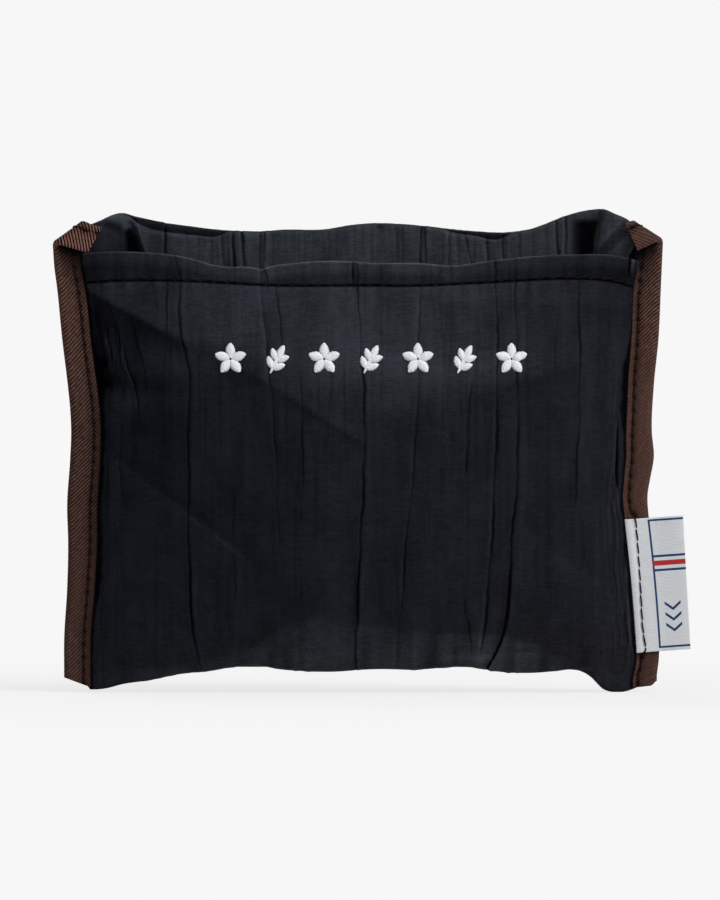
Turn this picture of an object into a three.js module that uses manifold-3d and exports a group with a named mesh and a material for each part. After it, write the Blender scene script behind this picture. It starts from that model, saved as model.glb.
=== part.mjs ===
// A crinkle-cloth tote bag, folded up inside its own pocket.
// The pocket stands on its two bottom corners with its mouth up. Millimetres, +Z up, front towards -Y.
import * as THREE from 'three';
import { mergeVertices } from 'three/addons/utils/BufferGeometryUtils.js';
import Module from 'manifold-3d';

const wasm = await Module();
wasm.setup();

// Pocket, measured over the folded edges of its two binding tapes
const halfWidth = 91.8;
const frontHeight = 131.2;
const backHeight = 140.2;
const frontBulge = 15;
const backBulge = 13;
const frontMouth = 11;
const backMouth = 9;
const baseHalfDepth = 9;
const bottomArch = 6.5;
const cornerPeak = 4.5;
const sideBluntness = 3.5;
const bulgeHeight = 0.42;
const footStart = 0.88;

// Cloth and the gap that neighbouring pieces keep
const cloth = 0.8;
const clearance = 0.3;
const seamSlit = 0.1;

// Hem of the front panel
const hemDepth = 8.6;
const hemTurn = 0.8;

// Cloth turned over the back rim and down into the mouth
const turnedDepth = 28;
const turnedReach = 0.86;
const rimHook = 2.5;
const rimGap = 0.6;

// Binding tape: the width that shows, its thickness, and its slanted bottom end
const tapeShown = 8.9;
const tapeThickness = 0.8;
const tapeEndSelvage = 1.2;
const tapeEndFold = 4.2;
const selvageStep = 0.7;

// Tape end folded forward over a diagonal crease at each top corner
const creaseRun = 9;
const creaseRise = 6.3;
const tipAboveRim = 3.2;
const foldedThickness = 1.6;
const creaseBridge = 0.9;
const foldedEnd = {
  left: { topRun: 15, topRise: 5.1, lowRun: 11.7, lowDrop: 1.6 },
  right: { topRun: 12, topRise: 5.1, lowRun: 8.3, lowDrop: 2 },
};

// Lockstitch thread
const stitchPitch = 3.9;
const stitchInset = 2.2;
const stitchStop = 1.5;
const threadWidth = 0.6;
const threadHeight = 0.45;
const dipShare = 0.45;

// Woven label sewn on the right tape, its free tab hinged at the stitching
const labelLow = 12;
const labelHeight = 40;
const labelThickness = 0.6;
const tabWidth = 13.7;
const hingeOffset = 1.5;
const hingeGap = 0.15;

// Row of embroidered motifs on the front panel: five-petal blossoms and leaning leaf sprigs in turn
const motifCount = 7;
const motifPitch = 14;
const motifRow = 99.8;
const motifRowShift = 3.6;
const petalCount = 5;
const petalLength = 4.6;
const petalWidth = 2.7;
const stemLength = 9.4;
const stemWidth = 1.1;
const stemLean = 1.1;
const leafLength = 4.6;
const leafWidth = 2.1;
const leafSpread = 0.8;
const embroideryHeight = 0.9;
const leafSides = 10;

// Tote body folded up in the pocket, with its two handles folded flat before it
const mouthFree = 22;
const toteLayers = 5;
const foldGap = 0.6;
const stackPlay = 1;
const toteBackPlay = 3;
const handleLayers = 2;
const handleThickness = 1.3;
const handleWidth = 20;
const handleSplit = 4;
const handleBelowTop = 6;

// Waves of the outline: [place, offset], the place a share of the height or of the half width
const leftEdgeWave = [[0, -3.6], [0.2, -4.2], [0.56, -5.4], [0.84, -1.9], [1, 0]];
const rightEdgeWave = [[0, -1.2], [0.1, -1.2], [0.38, -4.5], [0.6, -3.3], [0.84, -1], [1, 0]];
const hemWave = [[-1, 0], [-0.85, 0.6], [-0.62, -1], [-0.4, -4], [0, -2.2], [0.38, -3.4], [0.62, -1], [1, 0]];
const rimWave = [[-1, 0], [-0.6, 0], [-0.35, -1], [0, 0.8], [0.55, -1.2], [0.8, 0.4], [1, 0]];

// Grid of the cloth
const columns = 26;
const rows = [0, 0.012, 0.04, 0.09, 0.16, 0.24, 0.32, 0.4, 0.48, 0.56, 0.64, 0.72, 0.8, 0.88, 0.96];
const tapeRows = 20;

const sides = { left: -1, right: 1 };
const tapeHalf = cloth + clearance + tapeThickness;
const flangeInset = tapeThickness + clearance;
const tipHeight = frontHeight + tipAboveRim;

function smooth(t) {
  const s = Math.min(1, Math.max(0, t));
  return s * s * (3 - 2 * s);
}

// Value of a wave at a place, eased from one hand-set offset to the next
function wave(points, at) {
  for (let i = 1; i < points.length; i += 1) {
    const [a, low] = points[i - 1];
    const [b, high] = points[i];
    if (at <= b) return low + (high - low) * smooth((at - a) / (b - a));
  }
  return points[points.length - 1][1];
}

// Distance from the middle to the tape's folded edge at a height
function edge(side, z) {
  return halfWidth + wave(side < 0 ? leftEdgeWave : rightEdgeWave, z / tipHeight);
}

function selvage(side, z) {
  return edge(side, z) - tapeShown;
}

function stitchLine(side, z) {
  return selvage(side, z) + stitchInset;
}

// Where the front and back cloths part, just inside the tape
function parting(side, z) {
  return selvage(side, z) - selvageStep;
}

// Share of the full depth across the width: 1 in the middle, 0 at the side seams
function roundness(u) {
  return Math.sqrt(Math.max(0, 1 - Math.abs(u) ** sideBluntness));
}

// Depth up the height: a quick swell over the base, then an ease towards the mouth
function swell(v, bulge, mouth) {
  if (v < bulgeHeight) {
    const rise = Math.sqrt(1 - (1 - Math.max(0, v) / bulgeHeight) ** 2.4);
    return baseHalfDepth + (bulge - baseHalfDepth) * rise;
  }
  const fall = Math.cos((Math.PI / 2) * Math.min(1, (v - bulgeHeight) / (1 - bulgeHeight)));
  return mouth + (bulge - mouth) * fall * fall;
}

// Underside of the pocket: two flat feet at the corners and an arch between them
function bottom(u) {
  return bottomArch * smooth((footStart - Math.abs(u)) / (footStart / 3));
}

function frontRim(u) {
  return frontHeight + wave(hemWave, u);
}

function backRim(u) {
  const peak = Math.exp(-(((Math.abs(u) - turnedReach) / 0.1) ** 2));
  return backHeight + wave(rimWave, u) + cornerPeak * peak;
}

// The back panel ends under the cloth that is turned over it
function backPanelTop(u) {
  return backRim(u) - cloth - rimGap;
}

function frontDepth(u, z) {
  const v = (z - bottom(u)) / (frontRim(u) - bottom(u));
  return swell(v, frontBulge, frontMouth) * roundness(u);
}

function backDepth(u, z) {
  const v = (z - bottom(u)) / (backPanelTop(u) - bottom(u));
  return swell(v, backBulge, backMouth) * roundness(u);
}

// Outer face of the front panel at a place on it
function frontFace(x, z) {
  const u = x / parting(Math.sign(x), z);
  return -cloth - frontDepth(u, z);
}

function geometryFrom(vertices, triangles) {
  let volume = 0;
  for (const [a, b, c] of triangles) {
    const cross = new THREE.Vector3().crossVectors(vertices[b], vertices[c]);
    volume += vertices[a].dot(cross);
  }
  const index = triangles.flatMap(([a, b, c]) => (volume < 0 ? [a, c, b] : [a, b, c]));
  const geometry = new THREE.BufferGeometry().setFromPoints(vertices);
  geometry.setIndex(index);
  geometry.computeVertexNormals();
  return geometry;
}

// Skin through rings of equal length, with flat ends; flatten gives an end's plane coordinates
function loft(rings, flatten) {
  const size = rings[0].length;
  const triangles = [];
  for (let i = 0; i + 1 < rings.length; i += 1) {
    for (let j = 0; j < size; j += 1) {
      const a = i * size + j;
      const b = i * size + ((j + 1) % size);
      triangles.push([a, b, b + size], [a, b + size, a + size]);
    }
  }
  [0, rings.length - 1].forEach((end) => {
    const outline = rings[end].map(flatten);
    const turn = Math.sign(THREE.ShapeUtils.area(outline)) * (end === 0 ? -1 : 1);
    for (const [a, b, c] of THREE.ShapeUtils.triangulateShape(outline, [])) {
      const corners = [outline[a], outline[b], outline[c]];
      const same = Math.sign(THREE.ShapeUtils.area(corners)) === turn;
      triangles.push((same ? [a, b, c] : [a, c, b]).map((k) => k + end * size));
    }
  });
  return geometryFrom(rings.flat(), triangles);
}

// Flat plate over an outline of [x, z] points, between two depths
function plate(outline, yFront, yBack) {
  const shape = new THREE.Shape(outline.map(([x, z]) => new THREE.Vector2(x, z)));
  const geometry = new THREE.ExtrudeGeometry(shape, { depth: yBack - yFront, bevelEnabled: false });
  geometry.rotateX(Math.PI / 2);
  geometry.translate(0, yBack, 0);
  return geometry;
}

function block(low, high) {
  const size = new THREE.Vector3().subVectors(high, low);
  const geometry = new THREE.BoxGeometry(size.x, size.y, size.z);
  geometry.translate((low.x + high.x) / 2, (low.y + high.y) / 2, (low.z + high.z) / 2);
  return geometry;
}

function solid(geometry) {
  const bare = geometry.clone();
  bare.deleteAttribute('normal');
  bare.deleteAttribute('uv');
  const merged = mergeVertices(bare, 1e-4);
  return new wasm.Manifold(new wasm.Mesh({
    numProp: 3,
    vertProperties: new Float32Array(merged.attributes.position.array),
    triVerts: new Uint32Array(merged.index.array),
  }));
}

function join(geometries) {
  const joined = geometries.map(solid).reduce((whole, piece) => whole.add(piece));
  const mesh = joined.getMesh();
  const geometry = new THREE.BufferGeometry();
  geometry.setAttribute('position', new THREE.BufferAttribute(mesh.vertProperties, 3));
  geometry.setIndex(new THREE.BufferAttribute(mesh.triVerts, 1));
  geometry.computeVertexNormals();
  return geometry;
}

function piece(name, geometry, look) {
  const mesh = new THREE.Mesh(geometry, new THREE.MeshStandardMaterial(look));
  mesh.name = name;
  return mesh;
}

const clothLook = { color: 0x161a20, roughness: 0.7, metalness: 0 };
const twillLook = { color: 0x3d2a24, roughness: 0.75, metalness: 0 };
const brownThreadLook = { color: 0x33211c, roughness: 0.6, metalness: 0 };
const darkThreadLook = { color: 0x101317, roughness: 0.6, metalness: 0 };
const whiteThreadLook = { color: 0xe4e7ec, roughness: 0.5, metalness: 0 };
const labelLook = { color: 0xc4c9cf, roughness: 0.7, metalness: 0 };

// Pocket cloth: front, bottom and back in one piece, open at the mouth, pressed flat in the side seams

function columnPlace(c, count) {
  return Math.sin((Math.PI / 2) * (-1 + (2 * c) / count));
}

// A row of cloth points, bowed out to the front or back
function clothPoint(u, z, depth, facing, thickness) {
  const side = Math.sign(u);
  const x = u * (parting(side, z) - (thickness > 0 ? 0 : cloth));
  return new THREE.Vector3(x, facing * (Math.max(depth, seamSlit) + thickness), z);
}

function flangePoint(side, z, facing) {
  return new THREE.Vector3(side * (edge(side, z) - flangeInset), facing * cloth, z);
}

function frontRowHeight(u, r) {
  const hem = frontRim(u) - hemDepth;
  if (r < rows.length) return bottom(u) + (hem - bottom(u)) * rows[r] / rows[rows.length - 1];
  return r === rows.length ? hem + hemTurn : frontRim(u);
}

function backRowHeight(u, r) {
  const last = rows.length + 1;
  const share = r < rows.length ? rows[r] * 0.97 : 0.94 + 0.06 * (r - last + 1);
  return bottom(u) + (backPanelTop(u) - bottom(u)) * share;
}

function clothSheet(facing, outer) {
  const rowHeight = facing < 0 ? frontRowHeight : backRowHeight;
  const depth = facing < 0 ? frontDepth : backDepth;
  const sheet = [];
  for (let r = 0; r < rows.length + 2; r += 1) {
    const row = [];
    for (let c = 0; c <= columns; c += 1) {
      const onFlange = outer && (c === 0 || c === columns);
      if (onFlange) {
        const side = c === 0 ? -1 : 1;
        const reach = rowHeight(side, r) / rowHeight(side, rows.length + 1);
        const z = tapeEndFold + reach * (tipHeight - clearance - tapeEndFold);
        row.push(flangePoint(side, z, facing));
        continue;
      }
      const u = outer ? columnPlace(c - 1, columns - 2) : columnPlace(c, columns);
      const z = rowHeight(u, r);
      if (outer) {
        row.push(clothPoint(u, z, depth(u, z), facing, cloth));
      } else {
        const turn = facing < 0 && r >= rows.length ? hemTurn : 0;
        const lift = cloth * (1 - rows[Math.min(r, rows.length - 1)]);
        row.push(clothPoint(u, r === 0 ? z + cloth : z + lift, depth(u, z) - turn, facing, 0));
      }
    }
    sheet.push(row);
  }
  return sheet;
}

function pocketCloth() {
  const outerFront = clothSheet(-1, true);
  const outerBack = clothSheet(1, true);
  const innerFront = clothSheet(-1, false);
  const innerBack = clothSheet(1, false);
  const vertices = [];
  const triangles = [];
  const known = new Map();
  const number = (point) => {
    if (!known.has(point)) {
      known.set(point, vertices.length);
      vertices.push(point);
    }
    return known.get(point);
  };
  const patch = (grid, flipped) => {
    for (let r = 0; r + 1 < grid.length; r += 1) {
      for (let c = 0; c + 1 < grid[0].length; c += 1) {
        const [p, q] = [number(grid[r][c]), number(grid[r][c + 1])];
        const [s, t] = [number(grid[r + 1][c]), number(grid[r + 1][c + 1])];
        triangles.push(flipped ? [p, t, q] : [p, q, t], flipped ? [p, s, t] : [p, t, s]);
      }
    }
  };
  const top = outerFront.length - 1;
  const last = columns;
  const pair = (left, right, c) => left.map((row, r) => [row[c], right[r][c]]);
  patch(outerFront, false);
  patch(outerBack, true);
  patch(innerFront, true);
  patch(innerBack, false);
  patch(pair(outerBack, outerFront, 0), false);
  patch(pair(outerFront, outerBack, last), false);
  patch(pair(innerFront, innerBack, 0), false);
  patch(pair(innerBack, innerFront, last), false);
  patch([outerBack[0], outerFront[0]], false);
  patch([innerFront[0], innerBack[0]], false);
  patch([outerFront[top], innerFront[top]], false);
  patch([innerBack[top], outerBack[top]], false);
  patch([[outerFront[top][0], innerFront[top][0]], [outerBack[top][0], innerBack[top][0]]], false);
  patch([[innerFront[top][last], outerFront[top][last]], [innerBack[top][last], outerBack[top][last]]], false);
  return geometryFrom(vertices, triangles);
}

// Cloth turned forward over the back rim: a hook over the panel's edge and a long leg down inside
function turnedRim() {
  const outerRadius = cloth + rimGap + cloth / 2;
  const innerRadius = rimGap + cloth / 2;
  const rings = [];
  for (let c = 0; c <= columns; c += 1) {
    const u = columnPlace(c, columns);
    if (Math.abs(u) > turnedReach) continue;
    const crown = backRim(u) - outerRadius;
    const foot = backRim(u) - turnedDepth;
    const x = (z) => u * parting(u, Math.min(z, tipHeight));
    const middle = (z) => backDepth(u, Math.min(z, backPanelTop(u))) + cloth / 2;
    const legs = [0, 0.34, 0.67, 1].map((s) => foot + (crown - foot) * s);
    const arc = (radius) => [0.2, 0.4, 0.6, 0.8].map((s) => {
      const angle = Math.PI * (1 - s);
      return [middle(crown) + radius * Math.cos(angle), crown + radius * Math.sin(angle)];
    });
    const ring = [
      ...legs.map((z) => [middle(z) - outerRadius, z]),
      ...arc(outerRadius),
      [middle(crown) + outerRadius, crown],
      [middle(crown - rimHook) + outerRadius, crown - rimHook],
      [middle(crown - rimHook) + innerRadius, crown - rimHook],
      [middle(crown) + innerRadius, crown],
      ...arc(innerRadius).reverse(),
      ...legs.map((z) => [middle(z) - innerRadius, z]).reverse(),
    ];
    rings.push(ring.map(([y, z]) => new THREE.Vector3(x(z), y, z)));
  }
  return loft(rings, (p) => new THREE.Vector2(p.y, p.z));
}

// Binding tape: folded round the seam edge, and its top end folded forward over a diagonal crease
function bindingTape(name) {
  const side = sides[name];
  const rings = [];
  for (let r = 0; r <= tapeRows; r += 1) {
    const share = r / tapeRows;
    const point = (inset, y) => {
      const run = Math.min(1, inset / tapeShown);
      const low = tapeEndFold + (tapeEndSelvage - tapeEndFold) * run;
      const high = tipHeight + (creaseRise * inset) / creaseRun;
      const z = low + (high - low) * share;
      return new THREE.Vector3(side * (edge(side, Math.min(z, tipHeight)) - inset), y, z);
    };
    const inner = cloth + clearance;
    rings.push([
      point(tapeShown, -tapeHalf),
      point(tapeThickness, -tapeHalf),
      point(tapeThickness / 3, -inner),
      point(0, 0),
      point(tapeThickness / 3, inner),
      point(tapeThickness, tapeHalf),
      point(tapeShown, tapeHalf),
      point(tapeShown, inner),
      point(tapeThickness, inner),
      point(tapeThickness, -inner),
      point(tapeShown, -inner),
    ]);
  }
  const around = loft(rings, (p) => new THREE.Vector2(p.x, p.y));
  const end = foldedEnd[name];
  const place = ([run, rise]) => [side * (halfWidth - run), tipHeight + rise];
  const front = -tapeHalf - clearance - foldedThickness;
  const flap = plate([
    [0, 0], [creaseRun, creaseRise], [end.topRun, end.topRise], [end.lowRun, -end.lowDrop],
  ].map(place), front, -tapeHalf - clearance);
  const bridge = plate([
    [0.2, 0], [creaseRun - 0.2, creaseRise - 0.3], [creaseRun - 0.2, creaseRise - 0.3 - creaseBridge],
    [creaseBridge + 0.2, -0.1],
  ].map(place), front, -tapeHalf + tapeThickness / 2);
  return join([around, flap, bridge]);
}

// Thread lying in stitches along a route; at(t) gives its seat, out the side it stands to, across its width
function thread(at, length, out, across) {
  const stitches = Math.max(2, Math.round(length / stitchPitch));
  const rings = [];
  for (let k = 0; k <= 2 * stitches; k += 1) {
    const share = k % 2 === 0 ? dipShare : 1;
    const half = across.clone().multiplyScalar((threadWidth / 2) * share);
    const seat = at(k / (2 * stitches)).addScaledVector(out, clearance);
    const crown = out.clone().multiplyScalar(threadHeight * share);
    rings.push([
      seat.clone().sub(half),
      seat.clone().add(half),
      seat.clone().addScaledVector(half, 0.6).add(crown),
      seat.clone().addScaledVector(half, -0.6).add(crown),
    ]);
  }
  const flatten = across.z > 0 ? (p) => new THREE.Vector2(p.y, p.z) : (p) => new THREE.Vector2(p.x, p.y);
  return loft(rings, flatten);
}

const forward = new THREE.Vector3(0, -1, 0);
const backward = new THREE.Vector3(0, 1, 0);
const upward = new THREE.Vector3(0, 0, 1);
const sideways = new THREE.Vector3(1, 0, 0);

// Hem stitching runs from tape to tape, needle thread outside and bobbin thread inside the mouth
function hemThread(inside) {
  const reach = 0.985;
  const at = (t) => {
    const u = reach * (2 * t - 1);
    const z = frontRim(u) - hemDepth + hemTurn;
    const x = u * parting(u, z);
    const y = inside ? Math.min(0, hemTurn - frontDepth(u, z)) : frontFace(x, z);
    return new THREE.Vector3(x, y, z);
  };
  if (!inside) return thread(at, 2 * halfWidth, forward, upward);
  const insideReach = 0.9;
  const middleOnly = (t) => at(0.5 + (t - 0.5) * insideReach);
  return thread(middleOnly, 2 * halfWidth * insideReach, backward, upward);
}

// Binding stitching: needle thread in front, over the label on the right, and bobbin thread behind
function bindingThread(name, behind) {
  const side = sides[name];
  const low = tapeEndSelvage + stitchPitch / 2;
  const high = tipHeight - foldedEnd[name].lowDrop - stitchStop;
  const ramp = stitchPitch;
  const at = (t) => {
    const z = low + (high - low) * t;
    const onLabel = side > 0 && !behind && z > labelLow - ramp && z < labelLow + labelHeight + ramp;
    const lift = onLabel ? clearance + labelThickness : 0;
    const y = behind ? tapeHalf : -tapeHalf - lift;
    return new THREE.Vector3(side * stitchLine(side, z), y, z);
  };
  return thread(at, high - low, behind ? backward : forward, sideways);
}

// Woven label: a strip held by the stitching, and a free tab that turns about the line beside it
const hingeLow = stitchLine(1, labelLow) + hingeOffset;
const hingeHigh = stitchLine(1, labelLow + labelHeight) + hingeOffset;
const labelFront = -tapeHalf - clearance - labelThickness;
const labelBack = -tapeHalf - clearance;

function labelStrip() {
  const steps = [0, 0.25, 0.5, 0.75, 1];
  const inner = steps.map((s) => {
    const z = labelLow + labelHeight * s;
    return [selvage(1, z), z];
  });
  return plate([
    ...inner,
    [hingeHigh - hingeGap, labelLow + labelHeight],
    [hingeLow - hingeGap, labelLow],
  ].reverse(), labelFront, labelBack);
}

function labelTab() {
  const along = new THREE.Vector2(hingeHigh - hingeLow, labelHeight).normalize();
  const out = new THREE.Vector2(along.y, -along.x);
  const low = new THREE.Vector2(hingeLow, labelLow).addScaledVector(out, hingeGap);
  const high = new THREE.Vector2(hingeHigh, labelLow + labelHeight).addScaledVector(out, hingeGap);
  const corners = [
    low,
    low.clone().addScaledVector(out, tabWidth),
    high.clone().addScaledVector(out, tabWidth),
    high,
  ];
  return plate(corners.map((p) => [p.x, p.y]), labelFront, labelBack);
}

// One embroidered leaf or petal from its root, following the curve of the front panel
function leaf(root, angle, length, width) {
  const onPanel = (along, across, height) => {
    const x = root.x + along * Math.cos(angle) - across * Math.sin(angle);
    const z = root.y + along * Math.sin(angle) + across * Math.cos(angle);
    return new THREE.Vector3(x, frontFace(x, z) - clearance - height, z);
  };
  const rim = [];
  const ridge = [];
  for (let k = 0; k < leafSides; k += 1) {
    const turn = (2 * Math.PI * k) / leafSides;
    const along = (length / 2) * (1 - Math.cos(turn));
    const across = (width / 2) * Math.sin(turn);
    rim.push(onPanel(along, across, 0));
    ridge.push(onPanel(length / 2 + (along - length / 2) * 0.6, across * 0.5, embroideryHeight));
  }
  return loft([rim, ridge], (p) => new THREE.Vector2(p.x, p.z));
}

function blossom(middle) {
  const petals = [];
  for (let k = 0; k < petalCount; k += 1) {
    const angle = Math.PI / 2 + (2 * Math.PI * k) / petalCount;
    petals.push(leaf(middle, angle, petalLength, petalWidth));
  }
  return join(petals);
}

// A leaning stem with a leaf at its tip and two pairs along it
function leafSprig(middle) {
  const direction = new THREE.Vector2(Math.cos(stemLean), Math.sin(stemLean));
  const foot = middle.clone().addScaledVector(direction, -stemLength / 2);
  const onStem = (share) => foot.clone().addScaledVector(direction, share * (stemLength - leafLength));
  const leaves = [
    leaf(foot, stemLean, stemLength - leafLength / 2, stemWidth),
    leaf(onStem(0.95), stemLean, leafLength, leafWidth),
  ];
  [0.3, 0.85].forEach((share) => {
    [-leafSpread, leafSpread].forEach((turn) => {
      leaves.push(leaf(onStem(share), stemLean + turn, leafLength * 0.85, leafWidth));
    });
  });
  return join(leaves);
}

function motif(index) {
  const x = motifRowShift + (index - (motifCount - 1) / 2) * motifPitch;
  const middle = new THREE.Vector2(x, motifRow);
  return index % 2 === 0 ? blossom(middle) : leafSprig(middle);
}

// Room in the mouth: how far across a layer may reach at a given depth
const frontTaken = hemTurn + threadHeight + 2 * clearance;
const backTaken = cloth + rimGap + clearance;
const narrowest = Math.min(...[-1, 1].flatMap((side) => (
  [0.4, 0.5, 0.6, 0.7].map((share) => parting(side, share * tipHeight))
)));

function reachAt(y) {
  const share = y < 0 ? (frontTaken - y) / frontMouth : (backTaken + y) / backMouth;
  return narrowest * Math.max(0, 1 - Math.min(1, share) ** 2) ** (1 / sideBluntness);
}

// Layers folded to and fro, joined in turn at one end and the other
function foldedStack(stack) {
  const { front, thickness, gap, count, low, high, reach } = stack;
  const pieces = [];
  for (let k = 0; k < count; k += 1) {
    const y = front + k * (thickness + gap);
    const [left, right] = reach(y, y + thickness);
    pieces.push(block(new THREE.Vector3(left, y, low), new THREE.Vector3(right, y + thickness, high)));
    if (k === 0) continue;
    const [formerLeft, formerRight] = reach(y - thickness - gap, y - gap);
    const atRight = k % 2 === 0;
    const end = atRight ? Math.min(right, formerRight) : Math.max(left, formerLeft);
    const [x0, x1] = atRight ? [end - thickness, end] : [end, end + thickness];
    const from = new THREE.Vector3(x0, y - gap - thickness, low);
    pieces.push(block(from, new THREE.Vector3(x1, y + thickness, high)));
  }
  return join(pieces);
}

const handleDepth = handleLayers * handleThickness + (handleLayers - 1) * foldGap;
const handleFront = frontTaken - frontMouth + stackPlay;
const toteFront = handleFront + handleDepth + clearance;
const toteBack = backMouth - backTaken - toteBackPlay;
const toteLow = bottomArch + cloth + clearance;
const toteHigh = frontHeight + Math.min(...hemWave.map(([, offset]) => offset)) - mouthFree;
const toteThickness = (toteBack - toteFront - (toteLayers - 1) * foldGap) / toteLayers;

function packedTote() {
  return foldedStack({
    front: toteFront,
    thickness: toteThickness,
    gap: foldGap,
    count: toteLayers,
    low: toteLow,
    high: toteHigh,
    reach: (y0, y1) => {
      const half = Math.min(reachAt(y0), reachAt(y1)) - stackPlay;
      return [-half, half];
    },
  });
}

function packedHandle(side) {
  const outside = reachAt(handleFront) - stackPlay;
  const near = handleSplit / 2;
  return foldedStack({
    front: handleFront,
    thickness: handleThickness,
    gap: foldGap,
    count: handleLayers,
    low: toteHigh - handleBelowTop - handleWidth,
    high: toteHigh - handleBelowTop,
    reach: () => (side < 0 ? [-outside, -near] : [near, outside]),
  });
}

const pocket = new THREE.Group();
pocket.add(
  piece('pocket_cloth', pocketCloth(), clothLook),
  piece('turned_in_rim', turnedRim(), clothLook),
  piece('left_binding_tape', bindingTape('left'), twillLook),
  piece('right_binding_tape', bindingTape('right'), twillLook),
  piece('hem_needle_thread', hemThread(false), darkThreadLook),
  piece('hem_bobbin_thread', hemThread(true), darkThreadLook),
  piece('left_binding_needle_thread', bindingThread('left', false), brownThreadLook),
  piece('left_binding_bobbin_thread', bindingThread('left', true), brownThreadLook),
  piece('right_binding_needle_thread', bindingThread('right', false), brownThreadLook),
  piece('right_binding_bobbin_thread', bindingThread('right', true), brownThreadLook),
  piece('label_sewn_strip', labelStrip(), labelLook),
);
for (let k = 0; k < motifCount; k += 1) {
  pocket.add(piece(`embroidered_motif_${k + 1}`, motif(k), whiteThreadLook));
}

const labelFlap = new THREE.Group();
labelFlap.add(piece('label_free_tab', labelTab(), labelLook));

const tote = new THREE.Group();
tote.add(
  piece('folded_tote_body', packedTote(), clothLook),
  piece('folded_handle_left', packedHandle(-1), twillLook),
  piece('folded_handle_right', packedHandle(1), twillLook),
);

const group = new THREE.Group();
group.add(pocket, labelFlap, tote);

// The origin is the middle of the footprint, on the surface that the pocket stands on
const extent = new THREE.Box3().setFromObject(group);
const centre = extent.getCenter(new THREE.Vector3());
group.position.set(-centre.x, -centre.y, -extent.min.z);

export default group;
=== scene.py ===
"""A crinkle-cloth tote bag, folded up inside its own pocket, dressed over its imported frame.

Lengths are millimetres in the bag's own frame until a mesh is made: x across from the middle of the bag,
y back from the plane of its side seams, z up from the surface it stands on. A height is positive outward.
"""
import math

import bpy
import numpy as np
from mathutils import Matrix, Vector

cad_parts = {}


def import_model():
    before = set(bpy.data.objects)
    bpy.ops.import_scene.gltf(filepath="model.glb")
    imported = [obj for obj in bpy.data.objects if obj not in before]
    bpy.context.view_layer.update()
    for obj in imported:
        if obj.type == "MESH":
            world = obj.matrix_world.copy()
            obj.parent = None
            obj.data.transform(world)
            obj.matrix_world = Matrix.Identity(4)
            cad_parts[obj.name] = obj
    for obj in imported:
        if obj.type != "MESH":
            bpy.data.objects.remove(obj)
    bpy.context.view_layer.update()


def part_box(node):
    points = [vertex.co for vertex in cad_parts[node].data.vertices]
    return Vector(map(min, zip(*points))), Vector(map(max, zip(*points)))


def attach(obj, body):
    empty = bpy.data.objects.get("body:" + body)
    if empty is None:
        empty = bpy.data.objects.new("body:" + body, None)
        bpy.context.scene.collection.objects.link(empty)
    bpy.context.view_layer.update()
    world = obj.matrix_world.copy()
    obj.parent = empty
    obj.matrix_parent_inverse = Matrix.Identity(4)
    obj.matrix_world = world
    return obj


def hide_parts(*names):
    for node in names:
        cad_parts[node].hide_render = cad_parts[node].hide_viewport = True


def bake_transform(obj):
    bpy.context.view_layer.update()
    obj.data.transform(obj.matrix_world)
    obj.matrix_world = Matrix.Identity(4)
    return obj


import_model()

MM = 0.001
SEED = 11

# The two sides, as the signs of their places across
LEFT, RIGHT = -1, 1

# Depths of the pocket and thicknesses of its cloth and tape, as in the solids
HALF_WIDTH = 91.8
FRONT_BULGE = 15.0
BACK_BULGE = 13.0
FRONT_MOUTH = 11.0
BACK_MOUTH = 9.0
BASE_HALF_DEPTH = 9.0
SIDE_BLUNTNESS = 3.5
BULGE_HEIGHT = 0.42
CLOTH = 0.8
CLEARANCE = 0.3
TAPE_HALF = 1.9
TAPE_THICKNESS = 0.55
TAPE_SHOWN = 8.9

# Where the bag's own frame lies in the row frame
TAPE_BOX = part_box("left_binding_tape")
MIDDLE_X = TAPE_BOX[0].x / MM + HALF_WIDTH
SEAM_Y = TAPE_BOX[1].y / MM - TAPE_HALF

# Thicknesses of the finished cloth of the panels and the rim, how far a panel's face runs on under the
# tape's edge, and how far the tape's middle plane wanders
PANEL_CLOTH = 0.56
RIM_CLOTH = 0.4
PANEL_LAP = 0.2
SWAY = 0.22

# Lines of the outline seen from the front, through given points. For each side: how far the tape's
# folded edge lies from the middle, and how wide the tape shows, each by height.
FOLD_EDGE = {
    LEFT: [(5, 88.5), (16, 88.5), (31, 87.6), (45, 87.3), (56, 87.6), (70, 86.7), (78, 86.4), (85, 86.7),
           (92, 87.4), (106, 89.1), (121, 90.6), (128, 91.5), (134.4, 91.9)],
    RIGHT: [(5, 89.4), (10, 90.0), (20, 89.8), (35, 88.5), (50, 87.2), (60, 86.7), (64, 87.4),
            (70.5, 88.5), (78, 87.9), (92, 88.5), (106, 89.9), (121, 90.6), (134.4, 91.2)],
}
TAPE_WIDTH = {
    LEFT: [(5, 8.0), (15, 8.1), (29, 8.3), (61, 9.2), (79, 9.0), (97, 8.7), (118, 8.5), (128, 8.1),
           (136, 8.2), (142, 8.6)],
    RIGHT: [(3.5, 7.3), (6, 6.9), (11, 6.9), (14, 7.2), (36, 7.3), (60, 7.6), (70, 8.4), (80, 7.6),
            (97, 8.0), (115, 8.3), (124, 8.2), (130, 7.7), (136, 7.7), (141, 8.4), (145, 9.0)],
}

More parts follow.
